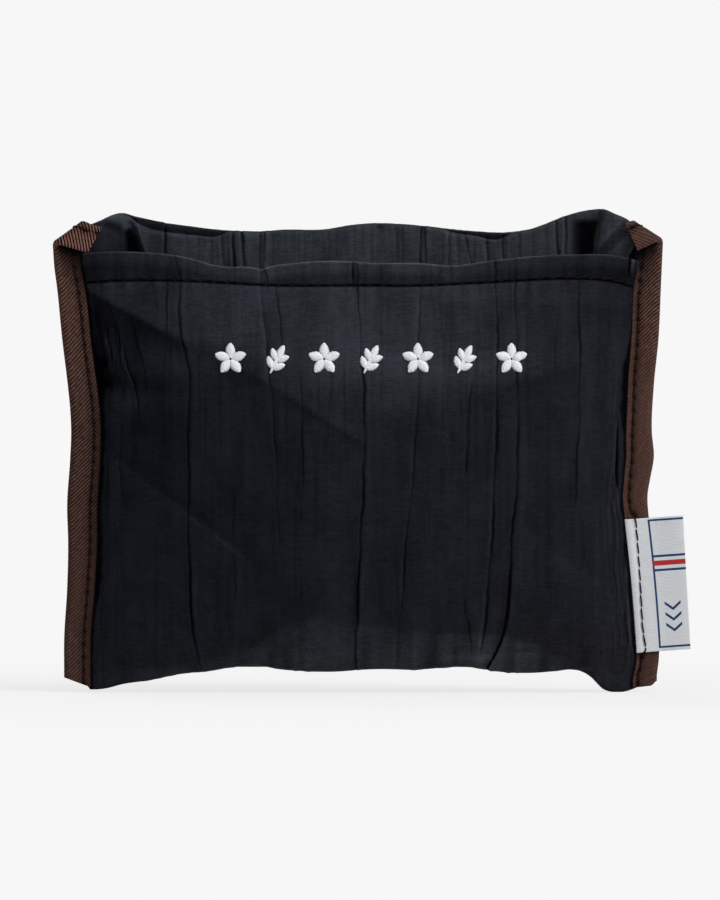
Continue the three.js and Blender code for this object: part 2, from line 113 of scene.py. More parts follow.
# Heights by place across: the bottom, the hem's top, its stitches, the rim, and how far the rim's
# cloth rolls over
BOTTOM_LINE = [(-84, 1.4), (-81, 0.8), (-77, 0.9), (-70.5, 2.4), (-63, 3.5), (-55, 5.4), (-45, 6.2),
               (-38, 7.4), (-31, 8.0), (-24, 6.8), (-9, 6.2), (5, 6.8), (19.5, 6.8), (27, 7.4), (34, 7.4),
               (41, 6.2), (52, 5.7), (59, 6.3), (63, 6.8), (66.3, 6.2), (69.9, 4.3), (73.5, 0.9),
               (77, 0.0), (81, 0.4), (84, 1.4)]
HEM_LINE = [(-84, 131.6), (-72, 132.1), (-55, 130.8), (-51.6, 130.2), (-43.8, 128.1), (-40, 127.5),
            (-32.7, 127.4), (-28.8, 126.8), (-26.4, 127.5), (-20, 128.4), (-2.4, 129.0), (0.3, 128.8),
            (19, 128.4), (28.8, 127.8), (39.3, 129.2), (47.7, 130.2), (63.3, 131.1), (76, 131.0),
            (84, 129.4)]
HEM_STITCHES = [(-84, 122.7), (-68, 123.3), (-54, 123.3), (-39, 122.5), (-27.6, 121.9), (3, 121.8),
                (13, 121.7), (39, 122.8), (48, 123.3), (65, 123.9), (73, 123.5), (78, 122.7), (84, 120.8)]
RIM_LINE = [(-86, 138.6), (-81.3, 140.1), (-77.7, 141.6), (-74, 143.3), (-71.5, 143.9), (-67, 142.8),
            (-60, 141.3), (-49, 139.8), (-42, 139.0), (-31, 138.4), (-23.7, 138.9), (-9.3, 139.2),
            (-2, 140.3), (5, 141.0), (12.3, 140.7), (19.5, 140.1), (26.7, 139.2), (34, 138.6),
            (48, 138.5), (52, 139.2), (55.5, 140.4), (62.7, 143.3), (66.3, 144.3), (70, 144.9),
            (73.5, 145.0), (77, 143.5), (80.5, 141.9), (82.5, 140.4), (86, 138.0)]
ROLL_BAND = [(-72.5, 0.0), (-69, 0.6), (-66.4, 2.0), (-60.6, 2.8), (-54, 2.7), (-48, 2.6), (-42.3, 2.0),
             (-40.5, 1.0), (-38, 0.0), (24, 0.0), (27, 0.8), (34, 1.4), (42.5, 2.0), (44.7, 1.1),
             (46.6, 0.0)]

# Hem and rim
HEM_FOLD = 0.6
HEM_PROUD = 0.3
HEM_ALLOWANCE = 1.2
RIM_LEG = 30.0
ROLL_FORWARD = 3.1
HOOK_PROUD = 1.4

# Tape ends folded forward over a slanted crease. Each crease climbs by its rise over its run from the tip
# at the folded edge. Cut and slant are the length beyond the crease and how that changes across the tape,
# stitched is the height of the last stitch in front, drop is how the end's lower edge falls away inward,
# shadow how far the painted shadow under it reaches down, and lit how much painted light the end has.
CREASE_RADIUS = 1.5
END_HALF = 0.9
END_SLIM_FROM = 127.0
END_SLIM_RISE = 10.0
TAPE_END = {
    LEFT: {"tip": 134.9, "rise": 6.6, "run": 8.9, "cut": 11.0, "slant": -1.9, "stitched": 131.3,
           "drop": 0.36, "shadow": 5.0, "lit": 0.22},
    RIGHT: {"tip": 135.9, "rise": 5.7, "run": 8.9, "cut": 8.4, "slant": 0.1, "stitched": 119.6,
            "drop": 0.40, "shadow": 4.3, "lit": 0.1},
}

# Height of the tapes' lower ends, and how far the right one's outer corner is lifted over a share of it
FOOT_AT_FOLD = {LEFT: 4.4, RIGHT: 2.1}
FOOT_AT_SELVAGE = 1.1
CORNER_LIFT = {LEFT: 0.0, RIGHT: 1.3}
CORNER_SHARE = 0.22

# Lockstitch, and how far its line lies from each tape's selvage
STITCH_PITCH = 3.9
STITCHES_FROM = 2.6
HEM_STITCH_SLANT = 0.28
HEM_STITCH_GAP = 0.7
HEM_THREAD_RADIUS = 0.22
TAPE_STITCH_SLANT = 0.12
TAPE_STITCH_GAP = 0.3
TAPE_THREAD_RADIUS = 0.23
THREAD_SEAT = 0.12
THREAD_OVER_LABEL = 0.15
FROM_SELVAGE = {
    LEFT: [(2, 2.1), (134, 2.1)],
    RIGHT: [(2, 1.5), (8, 1.5), (10.5, 1.6), (11.6, 1.8), (12.3, 2.8), (14, 2.9), (20, 2.7), (27, 2.8),
            (35, 3.0), (50, 3.2), (52, 3.1), (53.2, 2.5), (54.5, 2.1), (57, 1.95), (60, 1.9), (80, 1.9),
            (134, 1.7)],
}

# How strongly each tape's wales show by height and on its folded end, set partly to paint the way the light
# rakes them, the turn of that end's wales, and the painted light and shade on the tape by height
WALES = {
    LEFT: [(5, 0.42), (35, 0.48), (55, 0.68), (100, 0.72), (134, 0.66)],
    RIGHT: [(5, 0.3), (20, 0.3), (85, 0.28), (100, 0.45), (110, 0.75), (134, 0.8)],
}
END_WALES = {LEFT: 1.9, RIGHT: 0.32}
END_TURN = {LEFT: -0.21, RIGHT: -0.05}
TAPE_PAINTED_LIGHT = {
    LEFT: [(5, -0.16), (80, -0.16), (100, 0.0), (120, 0.18), (134, 0.18)],
    RIGHT: [(5, -0.06), (40, 0.04), (80, 0.04), (105, -0.06), (134, -0.1)],
}

# The narrow strip of each tape that lies beyond its stitches: the painted shade on it, and how faint its
# wales
FLANGE_PAINTED_LIGHT = {LEFT: -0.25, RIGHT: 0.0}
FLANGE_WALES = {LEFT: 0.7, RIGHT: 0.35}

# Woven label
LABEL_THICKNESS = 0.45
LABEL_LOW = 12.0
LABEL_HIGH = 52.0
LABEL_RISE = 1.25
LABEL_CURL = 0.85
LABEL_CORNER_CURL = 0.35
LABEL_BEND_FROM = 0.2
LABEL_BEND_TO = 3.0
LABEL_BEND_RISE = 0.25

# The label's inner edge, stitch line and free edge: the place across of each at the lower end, and its lean
# and its bow on the way up
LABEL_EDGES = [(83.2, -2.3, -1.3), (85.4, -3.0, 0.0), (99.4, -2.3, 0.0)]

# The label's pattern, across from its inner edge and up from its lower end
FRAME_INNER = 7.1
FRAME_LOW = 1.2
FRAME_HIGH = 39.2
FRAME_HALF = 0.3
STRIPE_MIDDLE = 26.3
STRIPE_HALF = 0.75
THIN_STRIPE_AWAY = 2.1
THIN_STRIPE_HALF = 0.35
CHEVRON_MIDDLE = 11.8
CHEVRON_SPAN = 2.4
CHEVRON_SLOPE = 0.8
CHEVRON_HALF = 0.45
CHEVRONS_UP = (6.0, 9.2, 12.4)
RIB_PITCH = 0.42

# Row of embroidered motifs
MOTIF_COUNT = 7
MOTIF_PITCH = 14.0
MOTIF_ROW = 99.8
MOTIF_ROW_SHIFT = 3.6
SATIN_PITCH = 0.27
SATIN_RADIUS = 0.19
PETAL_COUNT = 5
PETAL_LENGTH = 4.4
PETAL_WIDTH = 2.7


def ease(t):
    t = np.clip(t, 0.0, 1.0)
    return t * t * (3 - 2 * t)


def bump(distance, width):
    return np.exp(-((distance / width) ** 2))


def curve(points):
    """Smooth line through given points, level beyond its ends."""
    places, values = np.array(points, float).T
    slopes = np.gradient(values, places)

    def at(place):
        place = np.clip(np.asarray(place, float), places[0], places[-1])
        k = np.clip(np.searchsorted(places, place) - 1, 0, len(places) - 2)
        step = places[k + 1] - places[k]
        t = (place - places[k]) / step
        start = (1 + 2 * t) * (1 - t) ** 2 * values[k] + t * (1 - t) ** 2 * step * slopes[k]
        return start + t * t * (3 - 2 * t) * values[k + 1] - t * t * (1 - t) * step * slopes[k + 1]

    return at


def curves(points_by_side):
    return {side: curve(points) for side, points in points_by_side.items()}


fold_edge, tape_width, from_selvage = curves(FOLD_EDGE), curves(TAPE_WIDTH), curves(FROM_SELVAGE)
wales_at, tape_painted_light_at = curves(WALES), curves(TAPE_PAINTED_LIGHT)
bottom_line, hem_line, hem_stitches = curve(BOTTOM_LINE), curve(HEM_LINE), curve(HEM_STITCHES)
rim_line, roll_band = curve(RIM_LINE), curve(ROLL_BAND)


def stitch_inset(side, z):
    """How far the stitches lie from the tape's folded edge."""
    return tape_width[side](z) - from_selvage[side](z)


def parting(u, z):
    """Distance from the middle at which the cloth goes under the tape, on the side of u."""
    left, right = (fold_edge[side](z) - tape_width[side](z) + PANEL_LAP for side in (LEFT, RIGHT))
    return np.where(u < 0, left, right)


def roundness(u):
    return np.sqrt(np.clip(1 - np.abs(u) ** SIDE_BLUNTNESS, 0, 1))


def swell(v, bulge, mouth):
    v = np.clip(v, 0, 1)
    rise = np.sqrt(1 - (1 - np.minimum(v, BULGE_HEIGHT) / BULGE_HEIGHT) ** 2.4)
    fall = np.cos(np.pi / 2 * (np.maximum(v, BULGE_HEIGHT) - BULGE_HEIGHT) / (1 - BULGE_HEIGHT))
    low = BASE_HALF_DEPTH + (bulge - BASE_HALF_DEPTH) * rise
    high = mouth + (bulge - mouth) * fall * fall
    return np.where(v < BULGE_HEIGHT, low, high)


# Meshes

def in_row(points):
    return (np.asarray(points, float).reshape(-1, 3) + [MIDDLE_X, SEAM_Y, 0]) * MM


def normals_of(grid):
    across = np.gradient(grid, axis=1)
    along = np.gradient(grid, axis=0)
    normal = np.cross(across, along)
    return normal / np.maximum(np.linalg.norm(normal, axis=2, keepdims=True), 1e-9)


def distances_along(path):
    """How far each point of a path lies from its first, along it."""
    return np.concatenate([[0], np.cumsum(np.linalg.norm(np.diff(path, axis=0), axis=1))])


def unit(vectors):
    return vectors / np.linalg.norm(vectors, axis=1, keepdims=True)


def grid_faces(numbers):
    corners = [numbers[:-1, :-1], numbers[:-1, 1:], numbers[1:, 1:], numbers[1:, :-1]]
    return np.stack(corners, axis=2).reshape(-1, 4).tolist()


def placed(name, data):
    """A new object of some data, linked to the scene."""
    made = bpy.data.objects.new(name, data)
    bpy.context.scene.collection.objects.link(made)
    return made


def make_object(name, points, faces, material, flat=None, shading_marks=None, seam=None):
    """A smooth mesh object. Flat gives each point's place on the flat tape or ribbon, in millimetres. On
    cloth, shading_marks give the painted light and shade as a factor, 1 being plain, the way across to the
    nearest crease and the strength of its line of painted shade, and seam gives the way to the stitch line
    and how dark its painted shadow is drawn. On a tape, shading_marks give the painted light and shade and
    how strongly its wales show."""
    mesh = bpy.data.meshes.new(name)
    mesh.from_pydata(in_row(points).tolist(), [], faces)
    mesh.validate()
    mesh.polygons.foreach_set("use_smooth", [True] * len(mesh.polygons))
    for label, values in (("flat", flat), ("shading_marks", shading_marks), ("seam", seam)):
        if values is not None:
            layer = mesh.attributes.new(label, "FLOAT_VECTOR", "POINT")
            layer.data.foreach_set("vector", np.asarray(values, np.float32).ravel())
    mesh.materials.append(material)
    return placed(name, mesh)


def shell(grid, thickness, shading_marks, step=4):
    """Points, faces and shading_marks of a sheet with a fine outer side, a coarser inner side and closed
    edges.
    """
    rows, columns = grid.shape[:2]
    keep_rows = np.unique(np.append(np.arange(0, rows, step), rows - 1))
    keep_columns = np.unique(np.append(np.arange(0, columns, step), columns - 1))
    inner = (grid - normals_of(grid) * thickness)[np.ix_(keep_rows, keep_columns)]
    outer_numbers = np.arange(rows * columns).reshape(rows, columns)
    inner_numbers = rows * columns + np.arange(inner.shape[0] * inner.shape[1]).reshape(inner.shape[:2])
    faces = grid_faces(outer_numbers) + grid_faces(inner_numbers[::-1])
    borders = [
        (outer_numbers[0], inner_numbers[0], keep_columns, False),
        (outer_numbers[-1], inner_numbers[-1], keep_columns, True),
        (outer_numbers[:, 0], inner_numbers[:, 0], keep_rows, True),
        (outer_numbers[:, -1], inner_numbers[:, -1], keep_rows, False),
    ]
    for outer, coarse, kept, turned in borders:
        for k in range(len(kept) - 1):
            fine = outer[kept[k]:kept[k + 1] + 1].tolist()
            face = [int(n) for n in (coarse[k], coarse[k + 1], *fine[::-1])]
            faces.append(face[::-1] if turned else face)
    points = np.concatenate([grid.reshape(-1, 3), inner.reshape(-1, 3)])
    inner_shading = shading_marks[np.ix_(keep_rows, keep_columns)]
    count = shading_marks.shape[2]
    return points, faces, np.concatenate([shading_marks.reshape(-1, count), inner_shading.reshape(-1, count)])


def loop_tube(rings):
    """Points and faces of a closed body through rings of equal length, its end rings closed by rows of
    quads across them: point k of a ring lies opposite the point as far from the ring's other end."""
    rings = np.asarray(rings, float)
    count, size = rings.shape[:2]
    numbers = np.arange(count * size).reshape(count, size)
    closed = np.concatenate([numbers, numbers[:, :1]], axis=1)
    faces = grid_faces(closed)
    for ring, turned in ((numbers[0], True), (numbers[-1], False)):
        for k in range(size // 2 - 1):
            face = [int(n) for n in (ring[k], ring[k + 1], ring[size - 2 - k], ring[size - 1 - k])]
            faces.append(face[::-1] if turned else face)
    return rings.reshape(-1, 3), faces


class Strands:
    """Many short round strands gathered into one mesh."""

    def __init__(self, sides=6):
        self.points = []
        self.faces = []
        self.flat = []
        self.sides = sides
        self.count = 0

    def add(self, path, radii, up):
        """A strand along a path of points, up being a direction that isn't along it."""
        path = np.asarray(path, float)
        radii = np.broadcast_to(radii, len(path))
        along = unit(np.gradient(path, axis=0))
        across = unit(np.cross(along, up))
        over = np.cross(across, along)
        turns = 2 * np.pi * np.arange(self.sides) / self.sides
        cosines, sines = np.cos(turns)[:, None], np.sin(turns)[:, None]
        ring = across[:, None] * cosines + over[:, None] * sines
        points = path[:, None] + ring * radii[:, None, None]
        numbers = self.count + np.arange(points.shape[0] * self.sides).reshape(-1, self.sides)
        closed = np.concatenate([numbers, numbers[:, :1]], axis=1)
        self.faces += grid_faces(closed[:, ::-1])
        self.faces.append(numbers[0].tolist())
        self.faces.append(numbers[-1][::-1].tolist())
        flat = np.zeros(points.shape)
        flat[..., 0] = turns[None] * radii.max()
        flat[..., 1] = distances_along(path)[:, None]
        self.points.append(points.reshape(-1, 3))
        self.flat.append(flat.reshape(-1, 3))
        self.count += points.shape[0] * self.sides

    def object(self, name, material):
        points, flat = np.concatenate(self.points), np.concatenate(self.flat)
        return make_object(name, points, self.faces, material, flat)


# Creases and crinkles of the cloth

# How far from a crease its drawn line of painted shade is followed, and the strengths past which a crease
# changes the painted light beside it and the cloth's height no further
LINE_REACH = 3.0
DEEPEST_CREASE = 2.0
HIGHEST_CREASE = 1.1
GATHERS_AWAY = (1.2, 2.3, 3.5, 4.9, 6.6)
PUCKER_COUNT = 46
SEAM_PUCKER_COUNT = 80


def from_hole(travelled):
    """Distance to the nearest needle hole of a row of stitches that starts at 0."""
    return np.abs((travelled / STITCH_PITCH + 0.5) % 1 - 0.5) * STITCH_PITCH


class Relief:
    """Height and painted light of a cloth over the places of its grid, built up fold by fold.
    Lightness 0 is plain; painted shade darkens the cloth inside its creases, hollows and gaps, and painted
    light brightens its ridges, lit edges and the parts that face the light."""

    def __init__(self, x, z, seed):
        self.x, self.z = x, z
        self.random = np.random.default_rng(seed)
        self.height = np.zeros_like(x)
        self.light = np.zeros_like(x)
        self.line = np.full_like(x, LINE_REACH)
        self.crease_shade_strength = np.zeros_like(x)
        self.seam = np.full_like(x, LINE_REACH)
        self.seam_shadow = np.zeros_like(x)

    def wave(self, shortest, longest):
        """A wave up the cloth, of random length and phase."""
        return np.sin(self.z / self.random.uniform(shortest, longest) + self.random.uniform(0, 6))

    def from_path(self, path, run, share):
        """The way across from a path whose points are a place, a height and an amount, the amount at each
        height, and a fade over a run of heights at the path's two ends."""
        places, heights, amounts = np.array(path, float)[::-1].T
        across = self.x - curve(list(zip(heights, places)))(self.z)
        amount = curve(list(zip(heights, amounts)))(self.z)
        fade = ease((self.z - heights[0]) / run + share) * ease((heights[-1] - self.z) / run + share)
        return across, amount, fade

    def from_tape(self, side):
        """How far in from the edge of the tape each place lies."""
        return parting(np.full_like(self.x, side), self.z) - side * self.x

    def mark(self, shape, height, light):
        """Raises the cloth by a height, and paints light on it (shade where negative), as far as a shape
        says.
        """
        self.height += height * shape
        self.light += light * shape

    def crease(self, path, width, depth, lip):
        """A narrow groove with the cloth heaped along the side that lip's sign names, with painted shade in
        and beside the groove, a painted highlight on the heap and a drawn line of painted shade along it,
        which is a painted highlight where the strength is negative.
        Each point of its path is a place, a height above the ground and a strength."""
        across, strength, fade = self.from_path(path, 6, 0.7)
        strength = strength * fade * (0.8 + 0.35 * self.wave(3, 7))
        wander = 0.2 * self.wave(2.5, 5) + 0.1 * self.wave(0.8, 1.5)
        across = across - wander / np.maximum(np.abs(strength), 1) ** 3
        side = math.copysign(1.0, lip)
        heap = abs(lip) * bump(across - side * 2.1 * width, 1.9 * width)
        step = 0.35 * lip * np.tanh(across / width) * np.exp(-np.abs(across) / 7)
        groove = depth * bump(across, width)
        self.height += np.minimum(strength, HIGHEST_CREASE) * (heap + step - groove)
        # painted highlight on the heaped side of the crease, painted shade on the other
        lit, dark = 0.08 * bump(across - side * 1.2, 0.7), 0.22 * bump(across + side * 0.7, 0.9)
        self.light += np.minimum(strength, DEEPEST_CREASE) * (lit - dark)
        # the nearest crease's line of painted shade, drawn by the shader
        nearer = np.abs(across) < np.abs(self.line)
        self.line = np.where(nearer, across, self.line)
        shown = strength * ease((LINE_REACH - np.abs(across)) / (LINE_REACH / 2))
        self.crease_shade_strength = np.where(nearer, shown, self.crease_shade_strength)

    def slanted_fold(self, start, end, width, height, light):
        """A soft fold along a straight line; height and light are those of the cloth below it, the light
        being painted light, painted shade where negative.
        """
        start, end = np.array(start, float), np.array(end, float)
        length = np.linalg.norm(end - start)
        along = (end - start) / length
        travel = (self.x - start[0]) * along[0] + (self.z - start[1]) * along[1]
        aside = (self.x - start[0]) * along[1] - (self.z - start[1]) * along[0]
        fade = ease(travel / 10 + 0.5) * ease((length - travel) / 10 + 0.5)
        fade = fade * np.exp(-np.abs(aside) / (4 * width))
        self.height += fade * height * np.tanh(aside / width)
        self.light += fade * light * np.tanh(aside / (0.5 * width))

    def folded(self, creases, folds):
        """Every crease and every soft fold of two lists."""
        for path, width, depth, lip in creases:
            self.crease(path, width, depth, lip)
        for start, end, width, height, light in folds:
            self.slanted_fold(start, end, width, height, light)

    def ripples(self, shortest, longest, count, steepness):
        """Long upright waves whose lines wander a little on their way up."""
        for _ in range(count):
            length = math.exp(self.random.uniform(math.log(shortest), math.log(longest)))
            wander = self.random.uniform(0.2, 1.1)
            rise = self.random.uniform(40, 140)
            phase, turn = self.random.uniform(0, 2 * math.pi, 2)
            line = 2 * np.pi * self.x / length + phase + wander * np.sin(self.z / rise * 6 + turn)
            self.height += steepness * length * np.sin(line)

    def crinkles(self, count, reach, low, high):
        """Short narrow upright crinkles of random place, length and depth, with painted shade in their
        grooves and painted light on the ones that stand up.
        """
        for _ in range(count):
            middle = self.random.uniform(-reach, reach)
            foot = self.random.uniform(low, high - 12)
            length = self.random.uniform(12, 75)
            width = self.random.uniform(0.3, 0.9)
            depth = self.random.uniform(0.04, 0.18) * self.random.choice([1.0, 1.0, -0.6])
            bow = self.random.uniform(-1.6, 1.6)
            lean = self.random.uniform(-0.03, 0.03)
            share = np.clip((self.z - foot) / length, 0, 1)
            across = self.x - middle - lean * (self.z - foot) - bow * np.sin(math.pi * share)
            self.mark(np.sin(math.pi * share) * bump(across, width), -depth, -0.8 * depth)

    def puckers(self, base):
        """Short upright folds where the cloth turns under along its bottom, with painted light on their
        raised parts and painted shade in their dips.
        """
        for _ in range(PUCKER_COUNT):
            middle = self.random.uniform(-72, 70)
            width = self.random.uniform(0.6, 2.0)
            height = self.random.uniform(-0.6, 0.5)
            reach = self.random.uniform(4, 11)
            shape = bump(self.x - middle, width) * np.exp(-np.clip(self.z - base, 0, None) / reach)
            self.mark(shape, height, 0.7 * height)

    def side_gathers(self, side, depth):
        """Fine wavy folds that run up beside the tape, fainter with distance and towards the top, each with
        a painted highlight on its ridge and painted shade beside it.
        """
        inside = self.from_tape(side)
        for away in GATHERS_AWAY:
            across = inside - away - 0.6 * self.wave(5, 9) - 0.25 * self.wave(1.5, 3)
            strength = depth * ease((76 - self.z) / 24) * ease((self.z + 4) / 16) * (1 - away / 9)
            strength = strength * (0.6 + 0.4 * self.wave(3, 6))
            self.height += strength * (bump(across, 0.4) - bump(across - 0.5, 0.4))
            self.light += strength * (1.5 * bump(across, 0.3) - 1.3 * bump(across - 0.6, 0.35))

    def edge_shadow(self, side, reaches):
        """The cloth dips out of the light beside a tape and is darkened with painted shadow; reaches says
        how far in at each height.
        """
        inside = self.from_tape(side)
        reach = curve(reaches)(self.z) * (1 + 0.12 * self.wave(1.5, 2.5) + 0.1 * self.wave(0.7, 1.1))
        dip = 1 - ease((inside - 0.5 * reach) / (0.9 * reach + 0.2))
        self.mark(dip * np.where(self.z > TUCK_FROM, inside > 0, 1), -0.6, -2.2)

    def slit(self, path, lit_side=-1):
        """A dark gap of painted shadow with a painted highlight on the lip of one side; each point of its
        path is a place, a height and a half width."""
        across, half, fade = self.from_path(path, 3, 0.5)
        self.light += 0.5 * fade * bump(across - lit_side * (half + 0.5), 0.35)
        self.mark(fade * (1 - ease((np.abs(across) - 0.6 * half) / (0.8 * half))), -0.7, -2.4)

    def hem_pull(self, line, start):
        """The stitch line draws the cloth in, with a groove, a dimple at each hole and ripples beside it; a
        line of painted shadow, fainter at the holes, is drawn along it, and the ripples get painted light
        and shade.
        """
        away = self.z - line
        groove = bump(away, 0.4)
        hole = from_hole(self.x - start)
        self.height -= 0.16 * groove + 0.12 * bump(hole, 0.6) * groove
        self.seam = away
        self.seam_shadow = (2.0 - 1.5 * bump(hole, 0.5)) * ease((LINE_REACH - np.abs(away)) / 1.5)
        for _ in range(SEAM_PUCKER_COUNT):
            middle = self.random.uniform(-82, 82)
            width = self.random.uniform(0.5, 1.6)
            height = self.random.uniform(-0.24, 0.2)
            lean = self.random.uniform(-0.25, 0.25)
            reach = self.random.uniform(2.5, 7)
            shape = bump(self.x - middle - lean * away, width) * np.exp(-np.abs(away) / reach)
            self.mark(shape, height, 0.9 * height)

    def painted_patch(self, x, z, reach_x, reach_z, light):
        """A soft area of painted light, painted shade where its light is negative."""
        self.light += light * bump(self.x - x, reach_x) * bump(self.z - z, reach_z)

    def laid_over(self, grid, outward, fade):
        """The grid raised by the height, and its shading_marks: painted light and shade, the crease line of
        painted shade and the painted shadow along the stitches.
        """
        raised = grid + outward * (self.height * fade)[..., None]
        raised[..., 2] = np.maximum(raised[..., 2], 0.05)
        layers = [np.exp(self.light), self.line, self.crease_shade_strength, self.seam, self.seam_shadow]
        return raised, np.stack(layers + [np.zeros_like(self.light)], axis=2)


# Each crease is a path down the cloth, a width, a depth and a lip; each fold is a start, an end, a width,
# a height and a painted light; each of the painted patches is a place, a height, its reach across and up,
# and a painted light, painted shade where negative
FRONT_CREASES = [
    ([(-75.0, 114.9, 0.3), (-72.8, 106.5, 0.8), (-72.2, 97.8, 0.7), (-71.1, 90.9, 0.2)], 0.35, 0.3, 0.2),
    ([(-72.9, 103.0, 0.1), (-73.4, 96.3, 0.7), (-70.9, 90.9, 0.6), (-69.8, 86.7, 0.2)], 0.35, 0.3, 0.2),
    ([(-76.4, 110.5, 0.3), (-75.3, 102.3, 0.7), (-74.9, 98.0, 0.2)], 0.35, 0.3, 0.2),
    ([(-53.7, 127.5, 0.5), (-53.1, 107, 0.7), (-51.3, 98, 0.8), (-51, 73, 0.7), (-50.7, 41, 1.1),
      (-49.8, 21, 1.3), (-47.4, 7, 0.8)], 0.5, 0.6, 0.25),
    ([(-29.7, 126, 0.4), (-26.7, 94.5, 0.8), (-25.2, 78, 0.5), (-24, 45, 0.3)], 0.6, 0.35, -0.18),
    ([(-0.9, 130, 0.7), (0.3, 108, 0.5), (1.5, 88, 0.8), (1.5, 68, 0.8), (0, 37.5, 1.2), (-1.2, 7, 1.3)],
     0.5, 0.55, 0.22),
    ([(18.3, 128.7, 0.3), (17.9, 100, 0.5), (17.1, 78, 0.5), (13.5, 37.5, 0.7), (11.4, 8.4, 0.4)],
     0.6, 0.3, -0.15),
    ([(40.8, 131, 0.7), (41.4, 98, 0.7), (41.1, 78, 0.9), (39.3, 40, 0.9), (37.8, 22, 1.0),
      (36.3, 13, 0.8)], 0.5, 0.5, -0.22),
    ([(46.5, 127.5, 0.3), (47.4, 90, 0.5), (47.4, 68, 0.7), (45.3, 40, 1.4), (44.9, 30, 2.4),
      (44.2, 22.5, 4.0), (42.8, 16.5, 5.5), (41, 12.2, 6.0), (38.4, 7.6, 5.0)], 0.55, 0.6, 0.25),
    ([(65.4, 128.7, 0.5), (66, 94.5, 0.6), (64.5, 57.6, 0.5)], 0.55, 0.35, 0.18),
    ([(33.6, 93.3, 0.5), (31.8, 66.6, 0.6)], 0.6, 0.3, -0.15),
    ([(-57.6, 126, 0.6), (-57.3, 108, 0.5)], 0.5, 0.35, 0.15),
    ([(-24.9, 121, 0.5), (-22.5, 101, 0.4)], 0.5, 0.3, 0.15),
    ([(-17.4, 92, 0.4), (-16.8, 70, 0.6), (-17.4, 52, 0.3)], 0.5, 0.3, 0.15),
    ([(-37.5, 58, 0.3), (-37.2, 30, 0.4)], 0.5, 0.3, 0.15),
    ([(31.4, 30, 0.3), (31.6, 24.6, 0.9), (32.6, 19.9, 1.1), (33.5, 14, 0.5)], 0.8, 0.45, 0.2),
    ([(81.6, 132, 1.8), (81.0, 126, 1.6)], 0.5, 0.7, 0.2),
    ([(-71.8, 108, 0.4), (-69.8, 97.8, 0.9), (-67.2, 90.3, 0.9), (-66, 80.7, 0.5)], 0.4, 0.35, -0.15),
    ([(-76.4, 118, 0.5), (-74.1, 109.5, 0.6), (-72.8, 101.4, 0.6), (-70.6, 92.7, 0.3)], 0.4, 0.3, 0.15),
    ([(-68.4, 112, 0.3), (-66.6, 104, 0.5), (-64.4, 96, 0.5), (-62.9, 86, 0.2)], 0.4, 0.3, 0.15),
    ([(-75.4, 78, 0.4), (-75.8, 66, 0.6), (-75.2, 52, 0.4)], 0.5, 0.3, 0.15),
    ([(-71.6, 80, 0.4), (-71.8, 70, 0.6), (-71.2, 58, 0.3)], 0.4, 0.3, -0.15),
    ([(-79.8, 115, 0.4), (-78.3, 107, 0.7), (-76.9, 99.5, 0.9), (-75.9, 94, 0.5)], 0.35, 0.3, 0.15),
    ([(-78.6, 116, -0.1), (-77.1, 108, -0.2), (-75.7, 101, -0.25), (-74.6, 95.5, -0.3), (-73.8, 91, -0.2)],
     0.4, 0.2, 0.12),
    ([(-74.9, 113, -0.1), (-73.4, 104, -0.2), (-71.7, 97, -0.25), (-70.2, 90, -0.1)], 0.4, 0.2, 0.12),
    ([(76.4, 110, -0.1), (77.0, 98, -0.25), (77.0, 86, -0.3), (76.8, 80, -0.2)], 0.5, 0.2, 0.12),
    ([(-54.9, 131.0, 0.6), (-54.1, 127.0, 1.0), (-53.2, 123.4, 0.7)], 0.4, 0.3, 0.2),
    ([(-28.7, 127.8, 0.9), (-28.1, 125.2, 1.3), (-27.5, 122.6, 0.9)], 0.4, 0.3, 0.2),
    ([(-2.1, 129.0, 0.6), (-2.0, 125.5, 0.9), (-1.9, 122.4, 0.6)], 0.4, 0.3, 0.2),
]
# How far in from each tape the cloth dips and its painted shadow reaches, by height
EDGE_DIP_AND_SHADOW = {
    LEFT: [(5, 0.6), (20, 0.7), (30, 1.2), (38, 1.6), (45, 1.1), (60, 1.1), (84, 1.2), (89, 1.4),
           (92, 2.2), (94, 1.6), (96, 1.9), (98, 2.6), (101, 1.3), (104, 0.7), (112, 0.8), (120, 0.8),
           (134, 0.7)],
    RIGHT: [(5, 0.8), (52, 0.75), (70, 0.6), (78, 0.95), (83, 1.4), (90, 1.75), (97, 1.5), (104, 0.9),
            (108, 0.5), (118, 0.3), (134, 0.2)],
}
# Narrow gaps at the right, drawn as painted shadow: where the bag's side dips away from its tape, where the
# hem meets the tape, and where the rim does. Each point is a place, a height and a half width.
RIGHT_SLIT = [(78.0, 81, 0.12), (77.8, 76, 0.3), (77.7, 70, 0.42), (77.6, 65.7, 0.4), (77.9, 60.5, 0.15)]
HEM_SLIT = [(81.6, 133, 0.1), (81.4, 130.5, 0.25), (81.0, 126.8, 0.12)]
FRONT_FOLDS = [
    ((-82, 120.6), (-51.3, 103.8), 1.0, -0.5, -0.45),
    ((-33, 95.8), (0.6, 74.8), 0.65, -0.3, -0.33),
    ((-74, 71), (-33, 40), 0.55, 0.28, 0.34),
    ((-80, 93), (-52, 88), 2.2, 0.3, 0.2),
    ((24, 117), (80, 115), 1.0, -0.12, -0.1),
    ((30, 88), (66, 98), 1.6, -0.15, -0.12),
    ((48, 49), (82, 26), 1.4, 0.15, 0.1),
]
